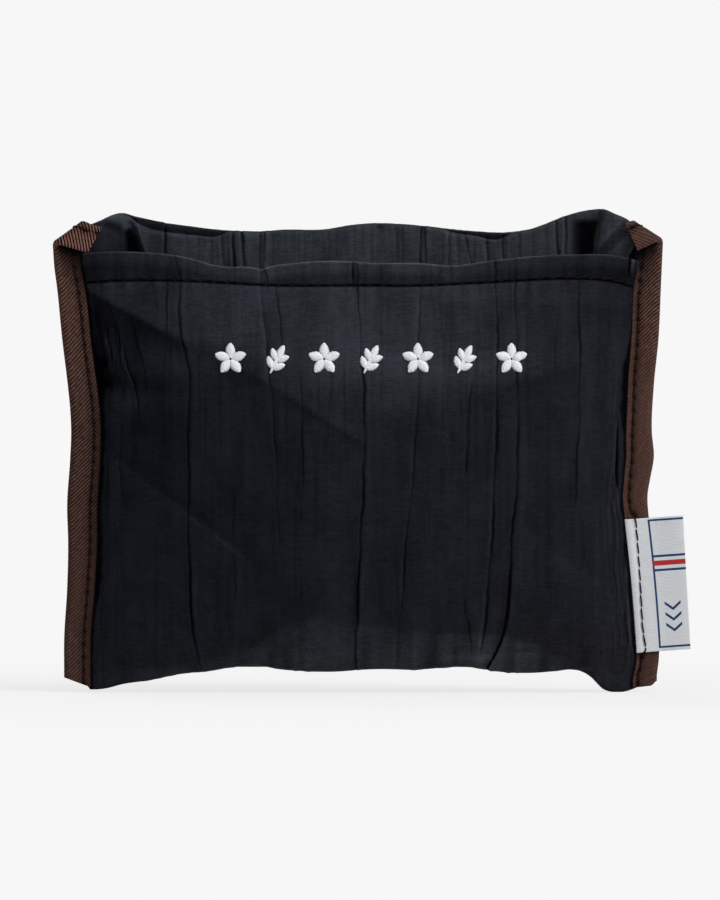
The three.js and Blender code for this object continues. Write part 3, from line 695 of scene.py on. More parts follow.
# By place across: the height above which painted light brightens the cloth, over how much height that sets
# in and how much lighter it is; and the height below which painted light from the floor brightens it where
# it turns under the bag, and how much
UPPER_EDGE = [(-84, 122.5), (-81.5, 121), (-78.3, 118.5), (-74, 115.9), (-69.8, 114), (-64, 111.4),
              (-60, 109), (-51.3, 106), (-38, 102), (-30, 98), (-21, 94), (-12, 91), (-3, 91.5), (6, 89),
              (15, 87.5), (24, 89), (33, 92), (42, 95), (52, 96.5), (67, 99), (84, 102)]
UPPER_SOFTNESS = [(-84, 0.7), (-62, 0.9), (-54, 2.4), (-48, 7), (-30, 10), (-12, 18), (15, 20), (24, 18),
                  (33, 12), (42, 9), (60, 11), (84, 14)]
UPPER_PAINTED_LIGHT = [(-84, 0.5), (-78, 0.45), (-66, 0.4), (-53, 0.55), (-45, 0.68), (-10, 0.72), (15, 0.65),
               (24, 0.58), (33, 0.5), (42, 0.36), (51, 0.28), (60, 0.14), (70, 0.0), (84, -0.05)]
LOWER_EDGE = [(-84, 7), (-50, 9), (-34, 13), (-19, 21), (0, 20.5), (20, 18), (48, 16), (60, 11), (84, 5)]
LOWER_PAINTED_LIGHT = [(-84, 0.1), (-66, 0.3), (-57, 0.6), (-45, 0.6), (-38, 0.4), (-30, 0.6), (-19, 0.65),
               (0, 0.5), (20, 0.65), (36, 0.85), (46, 0.9), (54, 0.7), (62, 0.3), (84, 0.1)]
FRONT_PAINTED_PATCHES = [
    (-79, 104, 6, 22, -0.45),
    (-78.6, 112, 1.6, 4.5, -0.6),
    (-76.4, 105.2, 1.0, 2.2, 0.5),
    (-78.6, 104.5, 0.9, 3.0, -0.5),
    (-73.5, 101.5, 2.0, 3.5, 0.25),
    (10.5, 86, 7, 4, 0.2),
    (-51, 108.5, 9, 1.6, -0.2),
    (-66, 109, 11, 4.5, -0.35),
    (-60, 99, 14, 4.5, 0.3),
    (-64, 91.5, 12, 2.6, -0.2),
    (10, 99, 17, 5, 0.28),
    (40, 98.5, 13, 5, 0.25),
    (-84, 60, 5, 70, -0.2),
    (-72, 80, 14, 20, -0.2),
    (-75.5, 94, 2.2, 3, -0.5),
    (-77.0, 99.6, 1.2, 2.0, -1.2),
    (-75.2, 92.6, 1.7, 1.8, -1.1),
    (-70, 86.5, 5, 3, 0.3),
    (-57, 80, 9, 6, -0.4),
    (-45, 55, 30, 45, -0.25),
    (40, 121, 26, 5, 0.12),
    (36, 10.8, 7, 0.45, 0.32),
    (30, 8.4, 9, 0.7, -0.3),
    (48.5, 14.2, 4.5, 0.6, 0.2),
    (50.6, 12.7, 2.0, 0.32, -0.7),
    (49.5, 11.3, 4.5, 0.4, 0.35),
    (66.6, 7.0, 2.6, 0.5, 0.8),
    (71.4, 3.6, 1.0, 1.8, 0.5),
]
RIM_CREASES = [
    ([(-58.4, 143, 0.96), (-57.8, 112, 0.96)], 0.45, 0.6, -0.25),
    ([(-52.0, 140, 0.24), (-51.6, 112, 0.32)], 0.6, 0.3, 0.2),
    ([(-44.6, 140, 0.32), (-43.8, 112, 0.4)], 0.5, 0.5, 0.2),
    ([(-41.4, 140, 0.56), (-40.4, 112, 0.56)], 0.4, 0.4, -0.2),
    ([(-38.1, 140, 0.96), (-36.6, 112, 1.04)], 0.5, 0.7, 0.3),
    ([(-35.2, 140, 0.96), (-34.4, 112, 0.96)], 0.45, 0.5, 0.2),
    ([(-29.7, 140, 0.72), (-29.7, 112, 0.72)], 0.45, 0.5, 0.3),
    ([(-28.7, 140, 0.64), (-28.8, 112, 0.64)], 0.4, 0.4, 0.2),
    ([(12.8, 142, 0.24), (13.0, 112, 0.32)], 0.5, 0.3, 0.2),
    ([(18.6, 142, 0.88), (18.4, 112, 0.96)], 0.45, 0.6, 0.25),
    ([(19.8, 142, 0.64), (19.5, 112, 0.72)], 0.4, 0.4, 0.2),
    ([(27.3, 142, 0.32), (27.3, 112, 0.32)], 0.6, 0.4, 0.2),
    ([(31.7, 140, 0.48), (34.2, 124, 0.56)], 0.45, 0.4, 0.2),
    ([(38.6, 140, 0.64), (39.4, 112, 0.64)], 0.9, 0.5, -0.2),
    ([(43.4, 140, 0.88), (42.6, 112, 0.88)], 0.6, 0.5, 0.25),
    ([(59.2, 146, 0.56), (60.4, 112, 0.56)], 0.45, 0.5, 0.25),
    ([(61.8, 146, 0.64), (62.8, 112, 0.64)], 0.45, 0.4, -0.2),
]
RIM_PAINTED_PATCHES = [
    (80.4, 135.4, 1.5, 1.4, 0.35),
    (-61.8, 134.0, 3.0, 7.0, -0.75),
]
RIM_SLIT = [(82.9, 133.8, 0.2), (82.1, 131.1, 0.75), (81.0, 128.4, 0.95)]
RIM_FOLDS = [
    ((71.0, 131.8), (79.1, 141.1), 0.7, -0.6, -0.5),
    ((74.6, 131.0), (82.0, 139.0), 0.5, 0.4, 0.3),
    ((72.6, 128.0), (76.4, 134.0), 0.4, 0.2, 0.25),
    ((-77, 142.6), (-69, 138.3), 0.8, -0.4, -0.45),
    ((-78, 140.6), (-70.5, 136.8), 0.8, 0.3, 0.4),
]
BACK_CREASES = [
    ([(-60, 136, 0.6), (-58, 90, 0.8), (-61, 40, 0.9), (-57, 8, 1.0)], 0.6, 0.45, 0.2),
    ([(-33, 136, 0.5), (-35, 70, 0.7), (-31, 8, 0.8)], 0.6, 0.4, -0.2),
    ([(-8, 136, 0.5), (-6, 80, 0.8), (-9, 30, 0.4)], 0.7, 0.35, 0.18),
    ([(22, 136, 0.6), (20, 90, 0.9), (24, 40, 1.0), (21, 8, 1.0)], 0.55, 0.5, 0.22),
    ([(48, 136, 0.4), (50, 60, 0.9), (46, 8, 0.8)], 0.6, 0.4, -0.2),
    ([(67, 120, 0.4), (65, 50, 0.6)], 0.6, 0.35, 0.15),
]
BACK_FOLDS = [
    ((-66, 104), (-20, 78), 3.0, 0.3, 0.2),
    ((10, 60), (62, 34), 3.0, 0.28, 0.2),
]


# Pocket cloth: the front with its hem, and the back, which meet under the bag

# Columns of each flange, which lies between the leaves of the tape, and rows of each stretch of cloth
FLANGE = 5
CLOTH_COLUMNS = 540
BOTTOM_ROWS = 8
PANEL_ROWS = 118
BAND_ROWS = 14
ARC_ROWS = 7
LEG_ROWS = 6
STITCH_ROW = BOTTOM_ROWS + PANEL_ROWS
BACK_TOP_LAP = 1.6
UNDER_RISE = 0.6
FACE_LEAST = 0.05
EDGE_FADE = 0.03
FLANGE_INTO_FOLD = 0.4
FLANGE_ABOVE_FOOT = 0.5
FLANGE_BELOW_CREASE = 3.5

# The right end of the hem stands out in front of its tape above a height
TUCK_FROM = 119.0
TUCK_RISE = 8.0
TUCK_OUT = 1.7


def across_places(count):
    even = np.linspace(-1, 1, count)
    return 0.62 * even + 0.38 * np.sin(np.pi / 2 * even)


def with_flanges(grid, shading_marks):
    """Adds columns that carry a panel's side edges flat between the leaves of the tape."""
    shares = np.arange(1, FLANGE + 1) / FLANGE
    parts = []
    for side, column in ((LEFT, grid[:, :1]), (RIGHT, grid[:, -1:])):
        flange = np.repeat(column, FLANGE, axis=1)
        start_x, start_z = column[..., 0], column[..., 2]
        fold = fold_edge[side](start_z)
        reach = side * (fold - TAPE_HALF + FLANGE_INTO_FOLD)
        flange[..., 0] = start_x + (reach - start_x) * shares
        inset = fold - side * flange[..., 0]
        foot = tape_foot(side, inset) + FLANGE_ABOVE_FOOT
        peak = crease_height(side, inset) - FLANGE_BELOW_CREASE
        flange[..., 2] = np.clip(flange[..., 2], foot, peak)
        room = np.maximum(tape_half(flange[..., 2]) - TAPE_THICKNESS - PANEL_CLOTH - SWAY, 0.05)
        flange[..., 1] = np.clip(flange[..., 1], -room, room)
        parts.append(flange[:, ::-1] if side == LEFT else flange)
    wide = [np.repeat(shading_marks[:, :1], FLANGE, axis=1), shading_marks, np.repeat(shading_marks[:, -1:], FLANGE, axis=1)]
    return np.concatenate([parts[0], grid, parts[1]], axis=1), np.concatenate(wide, axis=1)


def add_crinkles_and_shading(relief, low, high):
    """The crinkles that every panel has, with painted light and shade along them."""
    relief.ripples(14, 46, 7, 0.0045)
    relief.ripples(1.8, 7, 8, 0.0018)
    relief.crinkles(300, 84, low, high)
    relief.side_gathers(LEFT, 0.12)
    relief.side_gathers(RIGHT, 0.42)


def panel_depth(us, low, top, bulge, mouth):
    """How far a panel's inner face lies from the plane of the seams, by height."""

    def at(z):
        return np.maximum(swell((z - low) / (top - low), bulge, mouth) * roundness(us), FACE_LEAST)

    return at


def panel_shares():
    """Shares of a panel's height for its rows, closer together low down."""
    return ((np.arange(PANEL_ROWS) + 0.02) / (PANEL_ROWS - 0.98))[:, None] ** 1.2


def steps_to(count):
    return (np.arange(1, count + 1) / count)[:, None]


def under_bag(us, low, depth, shares):
    """Offsets and heights of the rows under the bag, from shares of the way out from its middle."""
    return shares * (depth + CLOTH), low + UNDER_RISE * shares ** 4 + 0 * us


def front_rows(us, low, top, line):
    """Offsets and heights of the front cloth's rows: under the bag, up the panel, up the hem, over its fold
    and down inside."""
    depth_at = panel_depth(us, low, top, FRONT_BULGE, FRONT_MOUTH)
    shares = np.linspace(0, 1, BOTTOM_ROWS, endpoint=False)[:, None]
    under_y, under_z = under_bag(us, low, depth_at(low), shares)
    panel_z = low + UNDER_RISE + (line - low - UNDER_RISE) * panel_shares()
    panel_y = -depth_at(panel_z) - CLOTH
    proud = HEM_PROUD * ease((1 - np.abs(us)) / EDGE_FADE)
    band_z = line + (top - HEM_FOLD - line) * steps_to(BAND_ROWS)
    band_y = -depth_at(band_z) - CLOTH - proud * ease(steps_to(BAND_ROWS) * 6)
    turn = steps_to(ARC_ROWS) * np.pi
    arc_z = top - HEM_FOLD + HEM_FOLD * np.sin(turn)
    arc_y = band_y[-1:] + HEM_FOLD * (1 - np.cos(turn))
    leg_z = top - HEM_FOLD + (line - HEM_ALLOWANCE - top + HEM_FOLD) * steps_to(LEG_ROWS)
    leg_y = -depth_at(leg_z) - CLOTH - proud + 2 * HEM_FOLD
    y = np.concatenate([-under_y, panel_y, band_y, arc_y, leg_y])
    y[BOTTOM_ROWS:] = np.minimum(y[BOTTOM_ROWS:], -0.12)
    return y, np.concatenate([under_z, panel_z, band_z, arc_z, leg_z])


def front_relief(us, x, z, low, top, line, tucked):
    """The front's creases, with painted shade on its hem band and beside its tapes, a painted highlight
    along the hem's top edge, and painted light on its upper and lower parts.
    """
    relief = Relief(x, z, SEED)
    relief.folded(FRONT_CREASES, FRONT_FOLDS)
    for painted_patch in FRONT_PAINTED_PATCHES:
        relief.painted_patch(*painted_patch)
    add_crinkles_and_shading(relief, 2, 134)
    relief.puckers(low)
    relief.hem_pull(line, x[STITCH_ROW, 3])
    hem_side = (np.arange(len(z)) < STITCH_ROW + BAND_ROWS + ARC_ROWS // 2)[:, None]
    # painted shade on the hem band, and a painted highlight along its top edge
    relief.light -= 0.6 * ease((top - 2.0 - z) / 3) * ease((z - line + 0.5) / 1.0) * hem_side
    relief.light += 0.9 * bump(z - top + 0.12, 0.3) * hem_side
    relief.edge_shadow(LEFT, EDGE_DIP_AND_SHADOW[LEFT])
    relief.edge_shadow(RIGHT, EDGE_DIP_AND_SHADOW[RIGHT])
    # painted light on the right end of the hem where it is tucked out in front of its tape
    relief.light += 0.35 * tucked * ease((us - 0.97) / 0.01)
    relief.slit(RIGHT_SLIT)
    relief.slit(HEM_SLIT, lit_side=1)
    relief.height -= 1.1 * bump(x + 73, 9) * bump(z - 104, 20)
    # painted light on the upper part, which faces the light from above
    above = (z - curve(UPPER_EDGE)(x)) / curve(UPPER_SOFTNESS)(x)
    relief.light += curve(UPPER_PAINTED_LIGHT)(x) * ease(above + 0.5)
    # painted light low down, standing for light thrown up from the floor where the cloth turns under
    edge = curve(LOWER_EDGE)(x)
    relief.light += curve(LOWER_PAINTED_LIGHT)(x) * ease((edge - z) / 2.5 + 0.5) * (1.5 - z / edge)
    return relief


def front_cloth():
    us = across_places(CLOTH_COLUMNS)[None, :]
    low = bottom_line(us * parting(us, 5.0))
    top = hem_line(us * parting(us, 130.0))
    line = hem_stitches(us * parting(us, 122.0))
    y, z = front_rows(us, low, top, line)
    tucked = ease((z - TUCK_FROM) / TUCK_RISE) * (us > 0)
    row = np.arange(len(z))[:, None]
    outside = np.clip((STITCH_ROW + BAND_ROWS + ARC_ROWS - row) / ARC_ROWS, 0, 1)
    y -= TUCK_OUT * tucked * outside * ease((us - 0.9) / 0.08)
    x = us * parting(us, z)
    grid = np.stack([x, y, z], axis=2)
    outward = normals_of(grid)
    outward[STITCH_ROW + BAND_ROWS:] = outward[STITCH_ROW + BAND_ROWS - 1]
    relief = front_relief(us, x, z, low, top, line, tucked)
    fade = ease((1 - np.abs(us)) / EDGE_FADE) * (0.3 + 0.7 * ease((z - low) / 3))
    return with_flanges(*relief.laid_over(grid, outward, fade))


def back_cloth():
    us = across_places(CLOTH_COLUMNS)[None, :]
    low = bottom_line(us * parting(us, 5.0))
    top = rim_line(us * parting(us, 134.0)) - BACK_TOP_LAP
    depth_at = panel_depth(us, low, top, BACK_BULGE, BACK_MOUTH)
    panel_z = top + (low + UNDER_RISE - top) * (1 - panel_shares()[::-1])
    panel_y = depth_at(panel_z) + CLOTH
    under_y, under_z = under_bag(us, low, depth_at(low), np.linspace(1, 0, BOTTOM_ROWS + 1)[1:][:, None])
    z = np.concatenate([panel_z, under_z])
    y = np.concatenate([panel_y, under_y])
    x = us * parting(us, z)
    grid = np.stack([x, y, z], axis=2)
    relief = Relief(x, z, SEED + 1)
    relief.folded(BACK_CREASES, BACK_FOLDS)
    add_crinkles_and_shading(relief, 2, 142)
    relief.puckers(low)
    # painted light: the back is painted lighter towards its top
    relief.light += 0.45 * ease((z - 40) / 80)
    fade = ease((1 - np.abs(us)) / EDGE_FADE) * ease(np.abs(y) / 3) * (0.25 + 0.75 * ease((z - low) / 3))
    return with_flanges(*relief.laid_over(grid, normals_of(grid), fade))


# Cloth turned over the back rim, with the hollows of its two corners

RIM_COLUMNS = 560
LEG_RISE_ROWS = 46
CREST_ROWS = 43
# How much painted light the turned cloth of the rim has
RIM_PAINTED_LIGHT = 1.05

# How far back the rim's cloth lies by place across, over its left and right corners
LEFT_CORNER = [(-92, -0.4), (-84, -0.6), (-80, -0.6), (-76, 0.2), (-72.6, 1.4), (-71.4, 2.2)]
RIGHT_CORNER = [(71.6, 1.6), (74, 0.2), (78, -0.5), (82, -0.4), (92, -0.2)]
LEFT_WALL = -70.6


def left_ridge(z):
    return -67.4 + (141.5 - z) * 0.30


def right_wall(z):
    return 71.2 + (z - 137) * 0.16


def left_hollow(x, z):
    return ease((x - LEFT_WALL) / 1.4) * ease((left_ridge(z) - 0.9 - x) / 1.4) * ease((139.8 - z) / 3.5)


def right_hollow(x, z):
    return ease((right_wall(z) - x) / 0.6) * ease((x - 62.5) / 5.0) * ease((142.4 - z) / 3.0)


def leg_place(x, z, u):
    """How far back the turned cloth's face lies at a place above the front hem."""
    y = np.maximum(BACK_MOUTH * roundness(u) + CLOTH - ROLL_FORWARD, 0.3)
    y = y + 2.0 * left_hollow(x, z) + 2.0 * right_hollow(x, z)
    beside = x - left_ridge(z) - 0.4
    y -= (1.6 * bump(beside, 1.1) + 0.9 * bump(beside, 3.4)) * ease((z - 118) / 10)
    over_left = 1 - ease((x - LEFT_WALL + 0.8) / 2.2)
    y = y * (1 - over_left) + curve(LEFT_CORNER)(x) * over_left
    over_right = ease((x - right_wall(z)) / 1.1)
    return y * (1 - over_right) + curve(RIGHT_CORNER)(x) * over_right


def through(knots, count):
    """Points of a smooth line through each column's knots, from the second knot on."""
    fine = np.linspace(0, len(knots) - 1, count + 1)[1:]
    whole = np.minimum(fine.astype(int), len(knots) - 2)
    t = (fine - whole)[:, None, None]
    before, start = knots[np.maximum(whole - 1, 0)], knots[whole]
    end, after = knots[whole + 1], knots[np.minimum(whole + 2, len(knots) - 1)]
    square = 2 * before - 5 * start + 4 * end - after
    cube = 3 * start - before - 3 * end + after
    return start + 0.5 * ((end - before) * t + square * t ** 2 + cube * t ** 3)


def rim_cloth():
    us = across_places(RIM_COLUMNS)[None, :]
    x = us * parting(us, 134.0)
    top = rim_line(x)
    band = np.maximum(roll_band(x), 0)
    rolled = ease(band / 0.7)
    second = top - band
    leg_z = top - RIM_LEG + (second - 1.2 - top + RIM_LEG) * np.linspace(0, 1, LEG_RISE_ROWS)[:, None]
    leg_y = leg_place(x + 0 * leg_z, leg_z, us)
    face = leg_y[-1:]
    hook = BACK_MOUTH * roundness(us) + CLOTH + HOOK_PROUD * ease(roundness(us) / 0.5)
    profile = crest_profile(face, hook, second, top, rolled)
    knots = np.stack([np.stack([y, z + 0 * y], axis=2)[0] for y, z in profile])
    crest = through(knots, CREST_ROWS)
    y = np.concatenate([leg_y, crest[..., 0]])
    z = np.concatenate([leg_z, crest[..., 1]])
    x = x + 0 * z
    grid = np.stack([x, y, z], axis=2)
    row = np.arange(len(z))[:, None]
    relief = rim_relief(x, z, row, rolled)
    fade = ease((1 - np.abs(us)) / 0.05) * ease((len(z) - row) / 6) * np.where(np.abs(x) > 68, 0.45, 1.0)
    fade = fade * (1 - 0.8 * ease((row - LEG_RISE_ROWS + 2) / 8))
    return relief.laid_over(grid, normals_of(grid), fade)


def crest_profile(face, hook, second, top, rolled):
    """Offsets and heights of the rim's crest, from its face in front to its hook over the back cloth. Where
    it is rolled, a second fold lies below it in front."""
    width = np.maximum(hook - face, 1.2)
    plain = 1 - rolled
    return [
        (face, second - 1.2),
        (face + 0.25, second - 0.45),
        (face + 0.85 * rolled + 0.14 * width * plain, second + 0.05 - 0.15 * plain),
        (face + 1.55 * rolled + 0.24 * width * plain, second - 0.55 * rolled - 0.02),
        (face + 1.15 * rolled + 0.36 * width * plain, (second + top) / 2 - 0.05),
        (face + 1.45 * rolled + 0.48 * width * plain, top - 0.35 * rolled),
        (face + 0.62 * width, top),
        (face + 0.84 * width, top - 0.35),
        (hook, top - 1.4),
        (hook + 0.05, top - 3.0),
        (hook - 0.15, top - 4.4),
    ]


def rim_relief(x, z, row, rolled):
    """The rim's creases, with painted light over its turned cloth, and painted shade in its corner hollows,
    on its corners and inner wall, and under its roll.
    """
    relief = Relief(x, z, SEED + 2)
    relief.folded(RIM_CREASES, RIM_FOLDS)
    relief.ripples(10, 30, 6, 0.005)
    relief.ripples(1.6, 5.5, 8, 0.0025)
    relief.crinkles(190, 80, 112, 150)
    inside = ease((LEG_RISE_ROWS + 20 - row) / 6)
    relief.light *= inside
    relief.crease_shade_strength *= inside
    relief.light += RIM_PAINTED_LIGHT
    # painted shade in the two corner hollows
    relief.light -= 1.9 * left_hollow(x, z) * inside + 2.5 * right_hollow(x, z) * inside
    # painted shade over the left corner, along its wall, and over the right corner
    relief.light -= 0.95 * ease((-70.4 - x) / 1.2) * ease((142.2 - z) / 2.5) * inside
    relief.light -= 0.85 * bump(x + 70.5, 1.1) * ease((140 - z) / 3) * inside
    relief.light -= 0.2 * ease((x - 71.0) / 2.0) * inside
    for painted_patch in RIM_PAINTED_PATCHES:
        relief.painted_patch(*painted_patch)
    relief.slit(RIM_SLIT)
    # painted shade under the roll
    shaded = ease((row - LEG_RISE_ROWS - 9) / 3) * ease((LEG_RISE_ROWS + 24 - row) / 3)
    relief.light -= rolled * shaded
    return relief


# Binding tape

TAPE_SPAN = 40
STITCH_DIMPLE = 0.22


def tape_place(side, inset, off, flat_z):
    """Place of a point of the folded tape: inset from its folded edge, off its middle plane, flat_z up it.
    Above the slanted crease the tape bends forward and down round a small radius."""
    end = TAPE_END[side]
    tip = end["tip"]
    z_fold = np.minimum(flat_z, tip)
    x = side * (fold_edge[side](z_fold) - inset)
    sway = SWAY * np.sin(flat_z / 6.1 + side) * np.sin(flat_z / 17.0) * ease((tip - flat_z) / 8)
    angle = math.atan2(end["rise"], end["run"])
    beyond_x, beyond_z = side * math.sin(angle), math.cos(angle)
    tip_x = side * float(fold_edge[side](tip))
    start = CREASE_RADIUS + END_HALF
    past = (x - tip_x) * beyond_x + (flat_z - tip) * beyond_z + start
    turn = np.clip(past / CREASE_RADIUS, 0, math.pi)
    radius = CREASE_RADIUS + off
    bent = np.where(past > 0, radius * np.sin(turn) - np.maximum(past - math.pi * CREASE_RADIUS, 0), past)
    y = np.where(past > 0, -CREASE_RADIUS + radius * np.cos(turn), off)
    shift = bent - past
    return np.stack([x + shift * beyond_x, y + sway, flat_z + shift * beyond_z], axis=-1)


def crease_height(side, inset):
    """Height of the slanted crease over which a tape's end is folded."""
    end = TAPE_END[side]
    return end["tip"] + inset * end["rise"] / end["run"]


def tape_half(flat_z):
    return TAPE_HALF + (END_HALF - TAPE_HALF) * ease((flat_z - END_SLIM_FROM) / END_SLIM_RISE)


def tape_foot(side, inset):
    """Height of the tape's slanted lower end."""
    share = np.clip(inset / TAPE_SHOWN, 0, 1)
    at_fold = FOOT_AT_FOLD[side] + CORNER_LIFT[side] * (1 - ease(share / CORNER_SHARE))
    return at_fold + (FOOT_AT_SELVAGE - at_fold) * share


def tape_section(side, flat_z):
    """Outer then inner line round the folded tape, as insets from its folded edge and offsets."""
    half = tape_half(flat_z)
    width = tape_width[side](flat_z)
    straight = np.linspace(1, 0, TAPE_SPAN // 2, endpoint=False)
    turn = np.linspace(0, np.pi, TAPE_SPAN // 2 + 1)
    inset, off, flat = [], [], []
    for gap, order in ((0.0, 1), (TAPE_THICKNESS, -1)):
        r = half - gap
        leaf = half + (width - half) * straight
        line_inset = np.concatenate([leaf, half - r * np.sin(turn), leaf[::-1]])
        line_off = np.concatenate([np.full(leaf.shape, -r), -r * np.cos(turn), np.full(leaf.shape, r)])
        line_flat = np.concatenate([leaf, half * (1 - 2 * turn / np.pi), -leaf[::-1]])
        inset.append(line_inset[::order])
        off.append(line_off[::order])
        flat.append(line_flat[::order])
    return np.concatenate(inset), np.concatenate(off), np.concatenate(flat)


def tape_rows(side):
    tip = TAPE_END[side]["tip"]
    top = tip + TAPE_END[side]["cut"]
    return np.concatenate([np.linspace(0, tip - 6, 320), np.linspace(tip - 6, top, 84)[1:]])


def tape_painted_light(side, row, inset, off, flat_z):
    """Painted light and shade round one of a tape's rows, 0 being plain: painted shade in the ditch of the
    stitches and in their holes, painted highlights along both edges and painted light on the folded end, and
    painted shadow in front where that end's shadow falls."""
    end = TAPE_END[side]
    from_stitches = inset - stitch_inset(side, row)
    hole = from_hole(flat_z - STITCHES_FROM)
    beyond_crease = flat_z - crease_height(side, inset)
    light = -0.85 * bump(from_stitches, 0.34) - 0.3 * bump(from_stitches + 1.0, 0.8)
    light -= 2.6 * bump(from_stitches, 0.5) * bump(hole, 0.75)
    light += FLANGE_PAINTED_LIGHT[side] * ease((from_stitches - 0.4) / 0.4)
    light += 0.3 * bump(inset, 0.4) + 0.35 * bump(inset - tape_width[side](row), 0.4)
    light += end["lit"] * ease((beyond_crease - 1.0) / 2.0)
    light += tape_painted_light_at[side](row)
    below = end["tip"] - inset * end["drop"] - flat_z
    in_shadow = ease((below + 1.0) / 1.0) * np.exp(-np.clip(below, 0, None) / end["shadow"])
    in_front = (off < 0) * (beyond_crease < 0)
    light -= 2.7 * in_shadow * ease((inset - 0.3) / 3.2) * in_front
    light -= 1.4 * bump(below - 0.3, 0.4) * ease((inset - 0.2) / 1.0) * in_front
    # painted shadow in the gap between the right tape and the rim's corner
    if side == RIGHT:
        light -= 1.3 * ease((inset - 5.0) / 1.5) * bump(flat_z - 131.0, 2.6) * (off < 0)
    return light


def wale_strength(side, row, inset, flat_z):
    """How strongly the wales show round one of a tape's rows, partly painting the way the light rakes them:
    fainter on the strip beyond the stitches.
    """
    over = ease(flat_z - crease_height(side, inset))
    flange = ease((inset - stitch_inset(side, row) - 0.4) / 0.4)
    wales = wales_at[side](row) * (1 - over) + END_WALES[side] * over
    return wales * (1 - (1 - FLANGE_WALES[side]) * flange * (1 - over))


def binding_tape(side, name, material):
    rings, flats, lights, contrasts = [], [], [], []
    end = TAPE_END[side]
    rows = tape_rows(side)
    for row in rows:
        inset, off, flat = tape_section(side, row)
        foot = tape_foot(side, inset)
        top = rows[-1] - end["slant"] * inset / tape_width[side](row)
        flat_z = foot + row * (top - foot) / rows[-1]
        off = off - np.sign(off) * STITCH_DIMPLE * bump(inset - stitch_inset(side, row), 0.6)
        rings.append(tape_place(side, inset, off, flat_z))
        beyond = np.clip(flat_z - crease_height(side, inset), 0, None)
        turned = ease(beyond) * END_TURN[side]
        flats.append(np.stack([flat * (1 + turned), flat_z - turned * beyond, 0 * flat], axis=-1))
        lights.append(tape_painted_light(side, row, inset, off, flat_z))
        contrasts.append(wale_strength(side, row, inset, flat_z))
    points, faces = loop_tube(rings)
    if side == LEFT:
        faces = [face[::-1] for face in faces]
    shading_marks = np.zeros((len(points), 3))
    shading_marks[:, 0] = np.exp(np.concatenate(lights))
    shading_marks[:, 1] = np.concatenate(contrasts)
    return make_object(name, points, faces, material, np.concatenate(flats), shading_marks)


# Stitches

# Columns of the cloth that the hem's thread leaves out at either end, outside and inside
NEEDLE_LEFT_OUT = 3
BOBBIN_LEFT_OUT = 24


def stitch_row(strands, path, outward, across, slant, gap, radius):
    """Stitches from hole to hole along a line of points that lie on the cloth, each sinking at both ends."""
    travelled = distances_along(path)
    count = int(round(travelled[-1] / STITCH_PITCH))
    pitch = travelled[-1] / count

    def along(values, s):
        return np.stack([np.interp(s, travelled, values[:, k]) for k in range(3)], axis=-1)

    for k in range(count):
        s = np.linspace(k * pitch + gap / 2, (k + 1) * pitch - gap / 2, 9)
        t = np.linspace(-1, 1, 9)
        arch = 1 - t ** 4
        points = along(path, s) + along(outward, s) * (0.55 * radius + radius * 1.1 * (arch - 0.75))[:, None]
        points += along(across, s) * (slant * t)[:, None]
        radii = radius * (0.45 + 0.55 * np.clip(arch, 0, 1) ** 0.5)
        strands.add(points, radii, along(outward, s).mean(0))


def hem_thread(grid, name, material, inside):
    """The thread outside follows the hem's stitch line, and the one inside the end of its turned-in leg."""
    strands = Strands()
    row = grid.shape[0] - 2 if inside else STITCH_ROW
    left_out = FLANGE + (BOBBIN_LEFT_OUT if inside else NEEDLE_LEFT_OUT)
    keep = slice(left_out, -left_out)
    path = grid[row, keep]
    outward = normals_of(grid)[row, keep]
    across = np.tile([0.0, 0.0, 1.0], (len(path), 1))
    stitch_row(strands, path, outward, across, HEM_STITCH_SLANT, HEM_STITCH_GAP, HEM_THREAD_RADIUS)
    return strands.object(name, material)


def binding_thread(side, name, material, behind):
    """In front, the right tape's thread rises over the label, which it holds."""
    strands = Strands()
    end = TAPE_END[side]
    top = end["tip"] + end["cut"] - 1.0 if behind else end["stitched"]
    flat_z = np.linspace(STITCHES_FROM, top, 420)
    inset = stitch_inset(side, flat_z)
    way = 1 if behind else -1
    lift = np.zeros_like(flat_z)
    if side == RIGHT and not behind:
        on_label = ease((flat_z - LABEL_LOW + 2) / 2) * ease((LABEL_HIGH + 2 - flat_z) / 2)
        lift = (CLEARANCE + LABEL_THICKNESS + THREAD_OVER_LABEL) * on_label
    seat = way * (tape_half(flat_z) - THREAD_SEAT + lift)
    path = tape_place(side, inset, seat, flat_z)
    higher = tape_place(side, inset, seat + way * 0.2, flat_z)
    further_in = tape_place(side, inset + 0.2, seat, flat_z)
    outward, across = unit(higher - path), unit(further_in - path)
    stitch_row(strands, path, outward, across, side * TAPE_STITCH_SLANT, TAPE_STITCH_GAP, TAPE_THREAD_RADIUS)
    return strands.object(name, material)


# Woven label: sewn along one line, free beyond it

def label_edges(z):
    """Inner edge, stitch line and free edge of the label at a height."""
    share = (z - LABEL_LOW) / (LABEL_HIGH - LABEL_LOW)
    return [foot + lean * share + bow * share ** 2 for foot, lean, bow in LABEL_EDGES]


